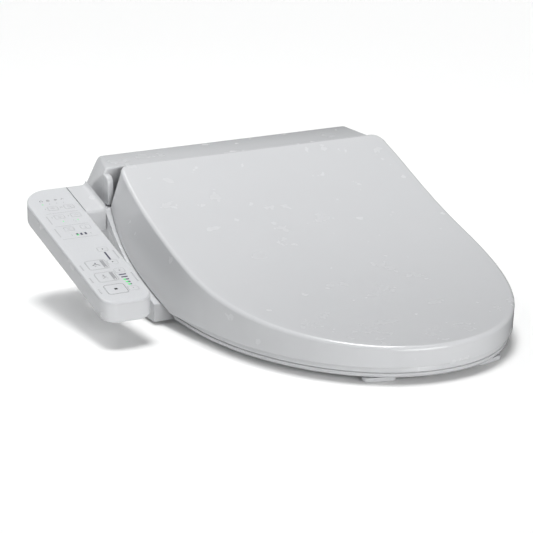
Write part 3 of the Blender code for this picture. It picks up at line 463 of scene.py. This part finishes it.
def seat_loops(n=264):
    outline = offset(LOOP, 0.005)
    outer, hole = [], []
    for i in range(n):
        t = 2 * math.pi * (i + 0.5) / n
        dx, dy = math.cos(t), math.sin(t)
        r = 1e9
        for a, b in zip(outline, outline[1:] + outline[:1]):
            ex, ey = b[0] - a[0], b[1] - a[1]
            det = dx * -ey + ex * dy
            if abs(det) > 1e-12:
                ax, ay = a[0], a[1] - HOLE_Y
                k = (ax * -ey + ex * ay) / det
                w = (dx * ay - dy * ax) / det
                if k > 0 and -1e-9 <= w <= 1 + 1e-9:
                    r = min(r, k)
        if dy > 0:
            r = min(r, (SEAT_REAR - HOLE_Y) / dy)
        outer.append((r * dx, HOLE_Y + r * dy))
        h = 1.0 / math.sqrt((dx / HOLE_RX) ** 2 + (dy / HOLE_RY) ** 2)
        hole.append((h * dx, HOLE_Y + h * dy))
    return outer, hole


OUT, HOLE = seat_loops()


def seat_ring(name, prof, replaces, merge_first=True):
    """Ring swept through (share of the way in, inset, height) rows."""
    bm = bmesh.new()
    rows = []
    for f, inset, z in prof:
        pts = []
        for p, q in zip(OUT, HOLE):
            d = math.hypot(q[0] - p[0], q[1] - p[1])
            g = f + inset / d
            x, y = p[0] + (q[0] - p[0]) * g, p[1] + (q[1] - p[1]) * g
            pts.append((x, y, z(y) if callable(z) else z))
        rows.append(row(bm, pts))
    rows.append(rows[0])
    bridge(bm, rows)
    ob = finish_mesh(name, bm, "shell", "seat", replaces, angle=42.0)
    # room for the wand under the rear of the ring
    tool_bm = bmesh.new()
    bmesh.ops.create_cube(tool_bm, size=1.0)
    for v in tool_bm.verts:
        v.co = V(0.030 if v.co.x > 0 else -0.030, -0.215 if v.co.y > 0 else -0.262, 0.0375 if v.co.z > 0 else -0.010)
    bmesh.ops.bevel(tool_bm, geom=[e for e in tool_bm.edges], offset=0.004, segments=4, profile=0.5, affect="EDGES")
    tool = bpy.data.objects.new("notch_tool", bpy.data.meshes.new("notch_tool"))
    tool_bm.to_mesh(tool.data)
    tool_bm.free()
    bpy.context.scene.collection.objects.link(tool)
    md = ob.modifiers.new("notch", "BOOLEAN")
    md.operation, md.object, md.solver = "DIFFERENCE", tool, "EXACT"
    bpy.context.view_layer.update()
    baked = bpy.data.meshes.new_from_object(ob.evaluated_get(bpy.context.evaluated_depsgraph_get()))
    ob.modifiers.clear()
    ob.data = baked
    baked.set_sharp_from_angle(angle=math.radians(42))
    bpy.data.objects.remove(tool, do_unlink=True)
    return ob


S1 = SEAT_SPLIT + 0.0004
top_prof = [(0.0, 0.0006, S1), (0.0, 0.0, S1 + 0.0005)]
for k in range(0, 9):          # outer shoulder
    t = math.radians(90.0 * k / 8)
    top_prof.append((0.0, 0.0125 * (1 - math.cos(t)), (lambda s: (lambda y: seat_top(y) - 0.0085 + 0.0070 * s))(math.sin(t))))
top_prof += [(0.28, 0.0, lambda y: seat_top(y) - 0.0006), (0.42, 0.0, lambda y: seat_top(y) - 0.0001), (0.55, 0.0, lambda y: seat_top(y) - 0.0002),
             (0.68, 0.0, lambda y: seat_top(y) - 0.0012), (0.80, 0.0, lambda y: seat_top(y) - 0.0030)]
for k in range(0, 9):          # inner shoulder, rolled down into the opening
    t = math.radians(90.0 * k / 8)
    top_prof.append((1.0, -0.0105 * math.cos(t) if k < 8 else 0.0, (lambda s: (lambda y: seat_top(y) - 0.0049 - 0.0085 * (1 - s)))(math.cos(t))))
top_prof += [(1.0, 0.0, S1 + 0.0005), (1.0, -0.0006, S1), (0.93, 0.0, S1), (0.88, 0.0, lambda y: seat_top(y) - 0.0105),
             (0.5, 0.0, lambda y: seat_top(y) - 0.0040), (0.12, 0.0, lambda y: seat_top(y) - 0.0066), (0.07, 0.0, S1)]
seat_ring("seat_ring_top", top_prof, ("seat_top_shell",))
Z0 = SEAT_Z0
bottom_prof = [(0.0, 0.0030, Z0), (0.0, 0.0012, Z0 + 0.0006), (0.0, 0.0003, Z0 + 0.0016), (0.0, 0.0, Z0 + 0.0028), (0.0, 0.0, SEAT_SPLIT - 0.0005),
               (0.0, 0.0006, SEAT_SPLIT), (0.06, 0.0, SEAT_SPLIT), (0.09, 0.0, Z0 + 0.0026), (0.91, 0.0, Z0 + 0.0026), (0.94, 0.0, SEAT_SPLIT),
               (1.0, -0.0006, SEAT_SPLIT), (1.0, 0.0, SEAT_SPLIT - 0.0005), (1.0, 0.0, Z0 + 0.0028), (1.0, -0.0008, Z0 + 0.0008), (1.0, -0.0030, Z0)]
seat_ring("seat_ring_bottom", bottom_prof, ("seat_bottom_shell",))

for side, s in (("l", -1), ("r", 1)):
    xa, xb = sorted((s * 0.1345, s * 0.1505))
    eye("seat_hinge_eye_" + side, "seat", xa - 0.0001, xb + 0.0001, 0.0043, 0.0085)
    a = Vector((-0.240, 0.0300))
    b = Vector((HINGE_Y, HINGE_Z))
    d = (b - a).normalized()
    nrm = Vector((-d.y, d.x))
    pts = []
    for x in (xa, xb):
        for p in (a - nrm * 0.0068, a + nrm * 0.0068, b - d * 0.0055 - nrm * 0.0066, b - d * 0.0055 + nrm * 0.0066):
            pts.append((x, p.x, p.y))
    bm = hull(pts)
    bevelled(bm, 0.0022, 4)
    finish_mesh("seat_hinge_arm_" + side, bm, "shell", "seat")


# ------------------------------------------------------------------ housing and its middle
def end_x(y, z, s=-1):
    """Sloping end of the housing; the far end runs straight back."""
    return 0.162 - (0.311 if s < 0 else 0.03) * (y + 0.006) - 0.5206 * (z - 0.1435)


def housing():
    zt, zb = 0.1435, 0.0603
    pts = []
    for s in (-1, 1):
        for y in (-0.0655,):
            pts.append((s * min(0.184, end_x(y, zt, s)), y, zt))
        pts.append((s * end_x(-0.0120, zt, s), -0.0120, zt))
        # rear top edge, rounded in section
        for y, z in ((-0.0070, 0.1428), (-0.0030, 0.1405), (-0.0010, 0.1365), (-0.0005, 0.1310)):
            pts.append((s * min(0.184, end_x(y, z, s)), y, z))
        # lower edge of the slope on the end wall
        for y in (-0.0655, -0.0450, -0.0240, -0.0005):
            z = 0.1435 - (0.184 - 0.162 + (0.311 if s < 0 else 0.03) * (y + 0.006)) / 0.5206
            pts.append((s * 0.184, y, min(zt, z)))
        pts += [(s * 0.184, -0.0655, zb), (s * 0.184, -0.0005, zb)]
    bm = hull(pts)
    bevelled(bm, 0.0026, 5, 9.0)
    return finish_mesh("housing_shell", bm, "shell", "unit", ("top_cover",), angle=40.0)


housing()

shelf = [(-0.0640, 0.111), (-0.0745, 0.111), (-0.0790, 0.1265), (-0.0810, 0.1360), (-0.0840, 0.1387), (HINGE_Y, HINGE_Z + 0.0094), (-0.0925, 0.1380),
         (-0.0955, 0.1360), (-0.1050, 0.1270), (-0.1200, 0.1158), (-0.1350, 0.1050), (-0.1550, 0.0937), (-0.1750, 0.0830), (-0.2090, 0.0695), (-0.2150, 0.0665),
         (UNIT_FRONT, 0.0640), (UNIT_FRONT, 0.0603), (-0.0640, 0.0603)]


def extruded(name, prof, x0, x1, body, mat="shell", width=0.0016, seg=3, angle=30.0, edge_angle=24.0, replaces=()):
    """Side profile between two x planes with every real edge rounded."""
    bm = bmesh.new()
    a = [bm.verts.new(V(x0, y, z)) for y, z in prof]
    b = [bm.verts.new(V(x1, y, z)) for y, z in prof]
    n = len(prof)
    for i in range(n):
        j = (i + 1) % n
        bm.faces.new((a[i], a[j], b[j], b[i]))
    bm.faces.new(list(reversed(a)))
    bm.faces.new(b)
    bmesh.ops.recalc_face_normals(bm, faces=bm.faces)
    bevelled(bm, width, seg, edge_angle)
    return finish_mesh(name, bm, mat, body, replaces, angle=angle)


extruded("unit_core_cover", shelf, -0.130, 0.130, "unit", width=0.0014)

for side, s in (("l", -1), ("r", 1)):
    lo = 0.1022
    top = [(-0.0640, lo), (-0.0640, 0.1372), (-0.0680, 0.1366), (-0.0730, 0.1352), (-0.0762, 0.1325), (-0.0777, 0.1290), (-0.0780, 0.1240), (-0.0780, lo)]
    xa, xb = sorted((s * 0.1765, s * 0.1840))
    extruded("hinge_cheek_" + side, top, xa, xb, "unit", width=0.0013, seg=4, edge_angle=40.0, angle=40.0)


# ------------------------------------------------------------------ control arm
def arm_z(y, h=0.0):
    return ARM_TOP + ARM_SLOPE * (y - ARM_Y0) + h


def sheared(bm_pts):
    return [(x, y, arm_z(y, h)) for x, y, h in bm_pts]


def arm_outline(n=16):
    x0, x1, y0, y1 = ARM_X0, ARM_X1, ARM_Y1, ARM_Y0
    rs = ARM_R
    pts = []
    for (cx, cy), r, a in zip(((x1 - rs[0], y1 - rs[0]), (x0 + rs[1], y1 - rs[1]), (x0 + rs[2], y0 + rs[2]), (x1 - rs[3], y0 + rs[3])), rs, (0, 90, 180, 270)):
        if r < 0.001:
            pts.append((x1, y1))
            continue
        for i in range(n + 1):
            t = math.radians(a + 90.0 * i / n)
            pts.append((cx + r * math.cos(t), cy + r * math.sin(t)))
    return pts


def arm_shell():
    """Tray of the control arm, open at the top under the panel."""
    outline = arm_outline()
    bm = bmesh.new()
    rows = []
    rb = 0.0042
    for k in range(9, -1, -1):
        t = math.radians(90.0 * k / 9)
        ring = offset(outline, rb * (1 - math.cos(t)))
        rows.append([(x, y, -ARM_H + rb - rb * math.sin(t)) for x, y in ring])
    for h in (-0.0150, -0.0090, -0.0050, -PANEL_T - 0.00015):
        rows.append([(x, y, h) for x, y in outline])
    rim = offset(outline, 0.0018)
    rows.append([(x, y, -PANEL_T - 0.00015) for x, y in rim])
    rows.append([(x, y, -0.0120) for x, y in rim])
    made = [[bm.verts.new(V(*p)) for p in sheared(r)] for r in rows]
    bridge(bm, made)
    bm.faces.new(list(reversed(made[0])))
    bm.faces.new(made[-1])
    return finish_mesh("arm_tray", bm, "shell", "unit", ("arm_case",), angle=45.0)


arm_shell()


def link_block(name, x0, x1, y0, y1, h0, h1, width, seg, replaces=(), mat="shell", slot="shell"):
    bm = bmesh.new()
    pts = []
    for x in (x0, x1):
        for y in (y0, y1):
            for h in (h0, h1):
                pts.append((x, y, arm_z(y, h)))
    bm = hull(pts)
    bevelled(bm, width, seg)
    return finish_mesh(name, bm, mat, "unit", replaces)


def fillet_prof():
    """Deck between arm and unit: section across x, with the rounded valley against the housing."""
    return [(ARM_X1 + 0.00025, 0.0), (-0.2120, 0.0), (-0.2060, 0.0), (-0.1990, 0.0), (-0.1962, 0.0002), (-0.1945, 0.0010), (-0.1934, 0.0023), (-0.1925, 0.0045),
            (-0.1925, -ARM_H), (ARM_X1 + 0.00025, -ARM_H)]


def deck():
    """Top of the link; its free front edge is rolled over."""
    bm = bmesh.new()
    r = 0.0032
    stations = [(ARM_Y0 + 0.0004, 0.0022), (ARM_Y0 - 0.0004, 0.0008), (ARM_Y0 - 0.0018, 0.0002), (ARM_Y0 - 0.0034, 0.0)]
    stations += [(ARM_Y0 - 0.0034 - (LINK_Y * -1 - 0.0034 - ARM_Y0 * -1 - r) * i / 8, 0.0) for i in range(1, 9)]
    stations += [(LINK_Y + r * (1 - math.sin(math.radians(90 * k / 6))), r * (1 - math.cos(math.radians(90 * k / 6)))) for k in range(1, 7)]
    prof = fillet_prof()
    rows = []
    for y, drop in stations:
        rows.append([bm.verts.new(V(x, y, arm_z(y, h - (drop if h > -0.01 else 0.0)))) for x, h in prof])
    bridge(bm, rows)
    bm.faces.new(list(reversed(rows[0])))
    bm.faces.new(rows[-1])
    return finish_mesh("arm_deck_top", bm, "shell", "unit", ("arm_deck",), angle=40.0)


deck()


def panel():
    """Panel with its rolled edge and a recess for every key."""
    outline = arm_outline()
    bm = bmesh.new()
    r = 0.0020
    rows = [[(x, y, -PANEL_T) for x, y in offset(outline, 0.0016)], [(x, y, -PANEL_T) for x, y in outline], [(x, y, -r) for x, y in outline]]
    for k in range(1, 9):
        t = math.radians(90.0 * k / 8)
        rows.append([(x, y, -r + r * math.sin(t)) for x, y in offset(outline, r * (1 - math.cos(t)))])
    made = [[bm.verts.new(V(*p)) for p in sheared(q)] for q in rows]
    bridge(bm, made)
    bm.faces.new(list(reversed(made[0])))
    bm.faces.new(made[-1])
    ob = finish_mesh("panel_cover", bm, "panel", "unit", ("panel_overlay",), angle=45.0)
    tools = []
    tb = bmesh.new()
    for kx, ky, (w, h) in KEYS.values():
        rr = (0.0018 if h < 0.01 else 0.0030) + 0.00012
        g = 0.00014
        ol = rounded(kx - w / 2 - g, kx + w / 2 + g, ky - h / 2 - g, ky + h / 2 + g, rr, 6)
        lo = [tb.verts.new(V(*p)) for p in sheared([(x, y, -0.006) for x, y in ol])]
        hi = [tb.verts.new(V(*p)) for p in sheared([(x, y, 0.006) for x, y in ol])]
        bridge(tb, [lo, hi])
        tb.faces.new(list(reversed(lo)))
        tb.faces.new(hi)
    bmesh.ops.recalc_face_normals(tb, faces=tb.faces)
    tool = bpy.data.objects.new("key_tools", bpy.data.meshes.new("key_tools"))
    tb.to_mesh(tool.data)
    tb.free()
    bpy.context.scene.collection.objects.link(tool)
    md = ob.modifiers.new("wells", "BOOLEAN")
    md.operation, md.object, md.solver = "DIFFERENCE", tool, "EXACT"
    bpy.context.view_layer.update()
    baked = bpy.data.meshes.new_from_object(ob.evaluated_get(bpy.context.evaluated_depsgraph_get()))
    ob.modifiers.clear()
    ob.data = baked
    baked.set_sharp_from_angle(angle=math.radians(45))
    bpy.data.objects.remove(tool, do_unlink=True)
    return ob


panel()


# ------------------------------------------------------------------ keys and printing
INK_H = 0.00006            # how far printing stands off its surface


def flat(name, polys, mat, body, h):
    """Thin printed shapes on the arm's top plane: each poly is a list of outlines (outer, optional inner)."""
    bm = bmesh.new()
    for poly in polys:
        if len(poly) == 1:
            bm.faces.new([bm.verts.new(V(x, y, arm_z(y, h))) for x, y in poly[0]])
        else:
            a = [bm.verts.new(V(x, y, arm_z(y, h))) for x, y in poly[0]]
            b = [bm.verts.new(V(x, y, arm_z(y, h))) for x, y in poly[1]]
            bridge(bm, [a, b])
    for f in bm.faces:
        f.normal_update()
        if f.normal.z < 0:
            f.normal_flip()
    me = bpy.data.meshes.new(name)
    bm.to_mesh(me)
    bm.free()
    ob = bpy.data.objects.new(name, me)
    bpy.context.scene.collection.objects.link(ob)
    me.materials.append(M[mat])
    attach(ob, body)
    return ob


def rect(cx, cy, w, h):
    return [[(cx - w / 2, cy - h / 2), (cx + w / 2, cy - h / 2), (cx + w / 2, cy + h / 2), (cx - w / 2, cy + h / 2)]]


def disc(cx, cy, r, n=20):
    return [[(cx + r * math.cos(2 * math.pi * i / n), cy + r * math.sin(2 * math.pi * i / n)) for i in range(n)]]


def ring(cx, cy, r, t, n=24, a0=0.0, a1=360.0):
    """Stroke along a circle; open if the angles don't close."""
    full = a1 - a0 >= 360.0
    out = [(cx + r * math.cos(math.radians(a0 + (a1 - a0) * i / n)), cy + r * math.sin(math.radians(a0 + (a1 - a0) * i / n))) for i in range(n + (0 if full else 1))]
    inn = [(cx + (r - t) * math.cos(math.radians(a0 + (a1 - a0) * i / n)), cy + (r - t) * math.sin(math.radians(a0 + (a1 - a0) * i / n))) for i in range(n + (0 if full else 1))]
    if full:
        return [out, inn]
    return [out + list(reversed(inn))]


def frame_line(cx, cy, w, h, r, t, n=6):
    o = rounded(cx - w / 2, cx + w / 2, cy - h / 2, cy + h / 2, r, n)
    i = rounded(cx - w / 2 + t, cx + w / 2 - t, cy - h / 2 + t, cy + h / 2 - t, max(0.0002, r - t), n)
    return [o, i]


def stroke(points, t):
    """Bent line of even width."""
    left, right = [], []
    n = len(points)
    for i, p in enumerate(points):
        a = Vector(points[max(0, i - 1)])
        b = Vector(points[min(n - 1, i + 1)])
        d = (b - a).normalized()
        k = Vector((-d.y, d.x)) * t / 2
        left.append(tuple(Vector(p) + k))
        right.append(tuple(Vector(p) - k))
    return [left + list(reversed(right))]


def key_cap(name, kx, ky, w, h):
    r = 0.0018 if h < 0.01 else 0.0030
    top, e = 0.0002, 0.00035
    bm = bmesh.new()
    outline = rounded(kx - w / 2, kx + w / 2, ky - h / 2, ky + h / 2, r, 8)
    rows = [[(x, y, -0.0055) for x, y in outline], [(x, y, top - e) for x, y in outline]]
    for k in range(1, 5):
        t = math.radians(90.0 * k / 4)
        rows.append([(x, y, top - e + e * math.sin(t)) for x, y in offset(outline, e * (1 - math.cos(t)))])
    made = [[bm.verts.new(V(*p)) for p in sheared(q)] for q in rows]
    bridge(bm, made)
    bm.faces.new(list(reversed(made[0])))
    bm.faces.new(made[-1])
    return finish_mesh(name + "_cap", bm, "panel", name + "_key", (name,), angle=60.0)


BODIES = set(frame["bodies"])
TOP = 0.0002 + INK_H
for name, (kx, ky, (w, h)) in KEYS.items():
    body = name + "_key"
    assert body in BODIES, body
    key_cap(name, kx, ky, w, h)
    big = h > 0.01
    if big:
        flat(name + "_outline", [frame_line(kx, ky, w - 0.0008, h - 0.0008, 0.0030, 0.00042)], "ink_soft" if name != "switch_stop" else "ink", body, TOP)
    else:
        flat(name + "_outline", [frame_line(kx, ky, w - 0.0006, h - 0.0006, 0.0018, 0.00022)], "ink_soft", body, TOP)

# icons on the keys, plain generic shapes
x, y, _ = KEYS["switch_rear_wash"]
flat("rear_wash_icon", [stroke([(x - 0.0058, y - 0.0012), (x - 0.0030, y + 0.0006), (x + 0.0002, y + 0.0004), (x + 0.0030, y - 0.0022)], 0.0010),
                        disc(x - 0.0010, y + 0.0030, 0.0010), stroke([(x - 0.0040, y - 0.0030), (x - 0.0015, y - 0.0022)], 0.0006)], "ink", "switch_rear_wash_key", TOP)
flat("rear_wash_strip", [rect(x + 0.0078, y, 0.0042, h * 0 + 0.0150)], "ink_soft", "switch_rear_wash_key", TOP)
flat("rear_wash_dot", [disc(x + 0.0078, y - 0.0062, 0.0009)], "panel", "switch_rear_wash_key", TOP + INK_H)
x, y, _ = KEYS["switch_front_wash"]
flat("front_wash_icon", [disc(x - 0.0022, y + 0.0034, 0.0011), stroke([(x - 0.0022, y + 0.0020), (x - 0.0022, y - 0.0016)], 0.0009),
                         stroke([(x - 0.0052, y - 0.0034), (x - 0.0022, y - 0.0010), (x + 0.0010, y - 0.0034)], 0.0006),
                         stroke([(x - 0.0052, y + 0.0010), (x - 0.0022, y + 0.0002), (x + 0.0010, y + 0.0010)], 0.0006)], "ink_soft", "switch_front_wash_key", TOP)
flat("front_wash_strip", [rect(x + 0.0078, y, 0.0042, 0.0150)], "ink_soft", "switch_front_wash_key", TOP)
flat("front_wash_dot", [disc(x + 0.0078, y - 0.0062, 0.0009)], "panel", "switch_front_wash_key", TOP + INK_H)
x, y, _ = KEYS["switch_stop"]
flat("stop_icon", [rect(x, y, 0.0037, 0.0030)], "ink_black", "switch_stop_key", TOP)
for nm in ("switch_position_back", "switch_position_front"):
    x, y, _ = KEYS[nm]
    flat(nm + "_icon", [disc(x, y, 0.0009)], "ink_black", nm + "_key", TOP)
x, y, _ = KEYS["switch_pressure_up"]
flat("pressure_up_icon", [rect(x, y, 0.0026, 0.0005), rect(x, y, 0.0006, 0.0022)], "ink", "switch_pressure_up_key", TOP)
x, y, _ = KEYS["switch_pressure_down"]
flat("pressure_down_icon", [rect(x, y, 0.0005, 0.0022)], "ink", "switch_pressure_down_key", TOP)
for nm, kind in (("switch_air_dry", 0), ("switch_deodorizer", 1), ("switch_seat_heat", 2), ("switch_water_heat", 3), ("switch_energy_saver", 4), ("switch_wand_clean", 5)):
    x, y, _ = KEYS[nm]
    sh = {0: [stroke([(x - 0.0026, y + 0.0008), (x - 0.0005, y + 0.0014), (x + 0.0022, y + 0.0006)], 0.00035), stroke([(x - 0.0026, y - 0.0010), (x - 0.0005, y - 0.0004), (x + 0.0022, y - 0.0012)], 0.00035)],
          1: [ring(x, y, 0.0018, 0.00035), stroke([(x + 0.0013, y - 0.0013), (x + 0.0024, y - 0.0024)], 0.00035)],
          2: [ring(x, y, 0.0019, 0.00035, a0=200, a1=340), stroke([(x - 0.0018, y + 0.0012), (x + 0.0018, y + 0.0012)], 0.00035)],
          3: [stroke([(x - 0.0018, y - 0.0014), (x, y + 0.0020), (x + 0.0018, y - 0.0014)], 0.00035)],
          4: [stroke([(x - 0.0018, y + 0.0016), (x + 0.0018, y + 0.0016), (x - 0.0018, y - 0.0016), (x + 0.0018, y - 0.0016)], 0.00032)],
          5: [stroke([(x, y + 0.0022), (x, y - 0.0022)], 0.00035), stroke([(x - 0.0016, y - 0.0010), (x, y - 0.0022), (x + 0.0016, y - 0.0010)], 0.00035)]}[kind]
    flat(nm + "_icon", sh, "ink_soft", nm + "_key", TOP)

# printing and lights on the panel itself
SX, SY = 1.0258, 1.0258


def q(px, py):
    """Place on the panel of a mark measured on the arm's first plane."""
    return (-1.31868 + SX * (px + 1.31868), -2.66311 + SY * (py + 2.66311))


H = INK_H
icons = []
for px, kind in ((-0.285, 0), (-0.277, 1), (-0.268, 2), (-0.260, 3)):
    cx, cy = q(px, -0.124)
    if kind == 0:
        icons += [ring(cx, cy, 0.0019, 0.0005, a0=-50, a1=250)]
    elif kind == 1:
        icons += [ring(cx, cy, 0.0019, 0.0005), stroke([(cx, cy + 0.0008), (cx, cy - 0.0008)], 0.0005)]
    elif kind == 2:
        icons += [stroke([(cx - 0.0019, cy), (cx + 0.0019, cy)], 0.0009), stroke([(cx, cy + 0.0012), (cx, cy - 0.0012)], 0.0007)]
    else:
        icons += [stroke([(cx - 0.0017, cy - 0.0010), (cx + 0.0002, cy + 0.0014), (cx + 0.0018, cy - 0.0004)], 0.0005)]
flat("status_icons", icons, "ink", "unit", H)
leds, dim = [], []
for px, py, on in ((-0.286, -0.131, 1), (-0.2778, -0.131, 0), (-0.2692, -0.131, 0), (-0.2612, -0.131, 0), (-0.2776, -0.169, 1), (-0.2603, -0.169, 1), (-0.2655, -0.169, 0), (-0.2640, -0.1715, 0)):
    (leds if on else dim).append(disc(*q(px, py), 0.00085 if on else 0.0006, 16))
flat("status_lights", leds, "green", "unit", H)
flat("status_lights_off", dim, "ink_soft", "unit", H)
lines = []
for x0, x1, py in ((-0.2900, -0.2525, -0.151), (-0.2917, -0.2526, -0.178), (-0.2936, -0.2522, -0.2045)):
    lines.append(stroke([q(x0, py), q(x1, py)], 0.00035))
flat("group_lines", lines, "ink_soft", "unit", H)
words = []
for cx, cy, length, n in ((-0.2915, -0.1640, 0.0150, 9), (-0.2930, -0.1905, 0.0160, 9)):
    for i in range(n):
        a = q(cx - 0.0006, cy + length / 2 - length * i / (n - 1))
        words.append(rect(a[0], a[1], 0.0013, length / n * 0.55))
for cx, cy, length, n in ((-0.2972, -0.2630, 0.0090, 6), (-0.2972, -0.2880, 0.0085, 5), (-0.2972, -0.3105, 0.0075, 4), (-0.2497, -0.2460, 0.0150, 8), (-0.2492, -0.2925, 0.0165, 8)):
    for i in range(n):
        a = q(cx, cy + length / 2 - length * i / (n - 1))
        words.append(rect(a[0], a[1], 0.0017, length / n * 0.6))
for cx, cy in ((-0.2868, -0.1405), (-0.2672, -0.1405), (-0.2690, -0.1405), (-0.2868, -0.1590), (-0.2675, -0.1590), (-0.2800, -0.1980), (-0.2580, -0.1985)):
    a = q(cx, cy)
    words.append(rect(a[0], a[1], 0.0006, 0.0026))
flat("side_marks", words, "ink_soft", "unit", H)
bars, lit = [], []
for i, px in enumerate((-0.2736, -0.2689, -0.2638)):
    cx, cy = q(px, -0.198)
    bars.append(rect(cx, cy, 0.0026, 0.0044))
    if i == 0:
        lit.append(rect(cx + 0.0001, cy - 0.0014, 0.0024, 0.0020))
c0, c1 = q(-0.2600, -0.2385), q(-0.2600, -0.2545)
bars.append(stroke([c0, c1], 0.0022))
for i in range(5):
    cx, cy = q(-0.2600, -0.2848 - 0.0049 * i)
    ww = 0.0086 - 0.0011 * i
    bars.append(rect(cx + 0.0002, cy, ww, 0.0021))
    if i > 1:
        lit.append(rect(cx + 0.0002 - ww / 2 + 0.0013, cy, 0.0028, 0.0024))
flat("level_bars", bars, "bar", "unit", H)
flat("level_lights", lit, "green", "unit", H * 2)


# ------------------------------------------------------------------ studio
floor_bm = bmesh.new()
S = 14.0
NX = 2
fl = [floor_bm.verts.new((x, y, -0.0004)) for x, y in ((-S, -S), (S, -S), (S, S), (-S, S))]
floor_bm.faces.new(fl)
fme = bpy.data.meshes.new("studio_floor")
floor_bm.to_mesh(fme)
floor_bm.free()
floor = bpy.data.objects.new("studio_floor", fme)
bpy.context.scene.collection.objects.link(floor)
fm = bpy.data.materials.new("studio_floor")
fm.use_nodes = True
fb = fm.node_tree.nodes["Principled BSDF"]
fb.inputs["Base Color"].default_value = (0.94, 0.94, 0.935, 1)
fb.inputs["Roughness"].default_value = 0.9
fb.inputs["Specular IOR Level"].default_value = 0.0
fb.inputs["Emission Color"].default_value = (1.0, 1.0, 1.0, 1)
fb.inputs["Emission Strength"].default_value = 0.015
fme.materials.append(fm)
floor.visible_glossy = False

SIDE_LO, SIDE_HI, SKY_DARK, SKY_BRIGHT, SKY_FRONT = -0.15, 0.15, 0.05, 0.34, 0.03
SUN_TOP, SUN_FRONT, SOFT = 2.15, 2.60, 2.6

world = bpy.data.worlds.new("studio")
bpy.context.scene.world = world
world.use_nodes = True
wn, wl = world.node_tree.nodes, world.node_tree.links
bg = wn["Background"]
wtc = wn.new("ShaderNodeTexCoord")


def toward(vec, lo, hi, dark, bright):
    """Sky level that rises smoothly with the direction's share along vec."""
    d = wn.new("ShaderNodeVectorMath")
    d.operation = "DOT_PRODUCT"
    wl.new(wtc.outputs["Generated"], d.inputs[0])
    d.inputs[1].default_value = Vector(vec).normalized()
    mr = wn.new("ShaderNodeMapRange")
    mr.interpolation_type = "SMOOTHSTEP"
    mr.inputs["From Min"].default_value = lo
    mr.inputs["From Max"].default_value = hi
    mr.inputs["To Min"].default_value = dark
    mr.inputs["To Max"].default_value = bright
    wl.new(d.outputs["Value"], mr.inputs["Value"])
    return mr.outputs["Result"]


side = toward((-0.8877, 0.4603, 0.0), SIDE_LO, SIDE_HI, SKY_DARK, SKY_BRIGHT)
front = toward((0.10, -0.98, 0.12), 0.30, 0.98, 0.0, SKY_FRONT)
both = wn.new("ShaderNodeMath")
both.operation = "ADD"
wl.new(side, both.inputs[0])
wl.new(front, both.inputs[1])
bg.inputs["Color"].default_value = (0.965, 0.985, 1.0, 1)
wl.new(both.outputs["Value"], bg.inputs["Strength"])


def sun(name, toward_light, strength, angle):
    li = bpy.data.lights.new(name, "SUN")
    li.energy = strength
    li.angle = math.radians(angle)
    ob = bpy.data.objects.new(name, li)
    bpy.context.scene.collection.objects.link(ob)
    ob.rotation_mode = "QUATERNION"
    ob.rotation_quaternion = (-Vector(toward_light)).to_track_quat("-Z", "Y")
    return ob


def strip(name, loc, aim, size_x, size_y, power):
    li = bpy.data.lights.new(name, "AREA")
    li.shape = "RECTANGLE"
    li.size, li.size_y = size_x, size_y
    li.energy = power
    ob = bpy.data.objects.new(name, li)
    bpy.context.scene.collection.objects.link(ob)
    ob.location = loc
    ob.rotation_mode = "QUATERNION"
    ob.rotation_quaternion = (Vector(aim) - Vector(loc)).to_track_quat("-Z", "Y")
    return ob


sun("top_soft", (0.03, 0.14, 1.0), SUN_TOP, 22.0)
sun("front_soft", (0.10, -0.985, 0.12), SUN_FRONT, 50.0)
soft = strip("rear_soft", (-0.50, 0.42, 0.95), (-0.05, -0.05, 0.10), 0.55, 0.55, SOFT)
soft.visible_camera = False
soft.visible_glossy = False

# ------------------------------------------------------------------ camera
cam_data = bpy.data.cameras.new("camera")
cam = bpy.data.objects.new("camera", cam_data)
bpy.context.scene.collection.objects.link(cam)
cam_data.sensor_width = 36.0
cam_data.lens = 172.4
cam_data.clip_start, cam_data.clip_end = 0.05, 60.0
right = Vector((0.887743, -0.460333, -0.002362)).normalized()
up = Vector((0.131927, 0.249497, 0.959347)).normalized()
back = right.cross(up).normalized()
up = back.cross(right).normalized()
cam.matrix_world = Matrix(((right.x, up.x, back.x, -1.31868), (right.y, up.y, back.y, -2.55311), (right.z, up.z, back.z, 0.85820), (0, 0, 0, 1)))
bpy.context.scene.camera = cam
bpy.context.scene.view_settings.view_transform = "Standard"
bpy.context.scene.view_settings.look = "None"
bpy.context.scene.view_settings.exposure = 0.0
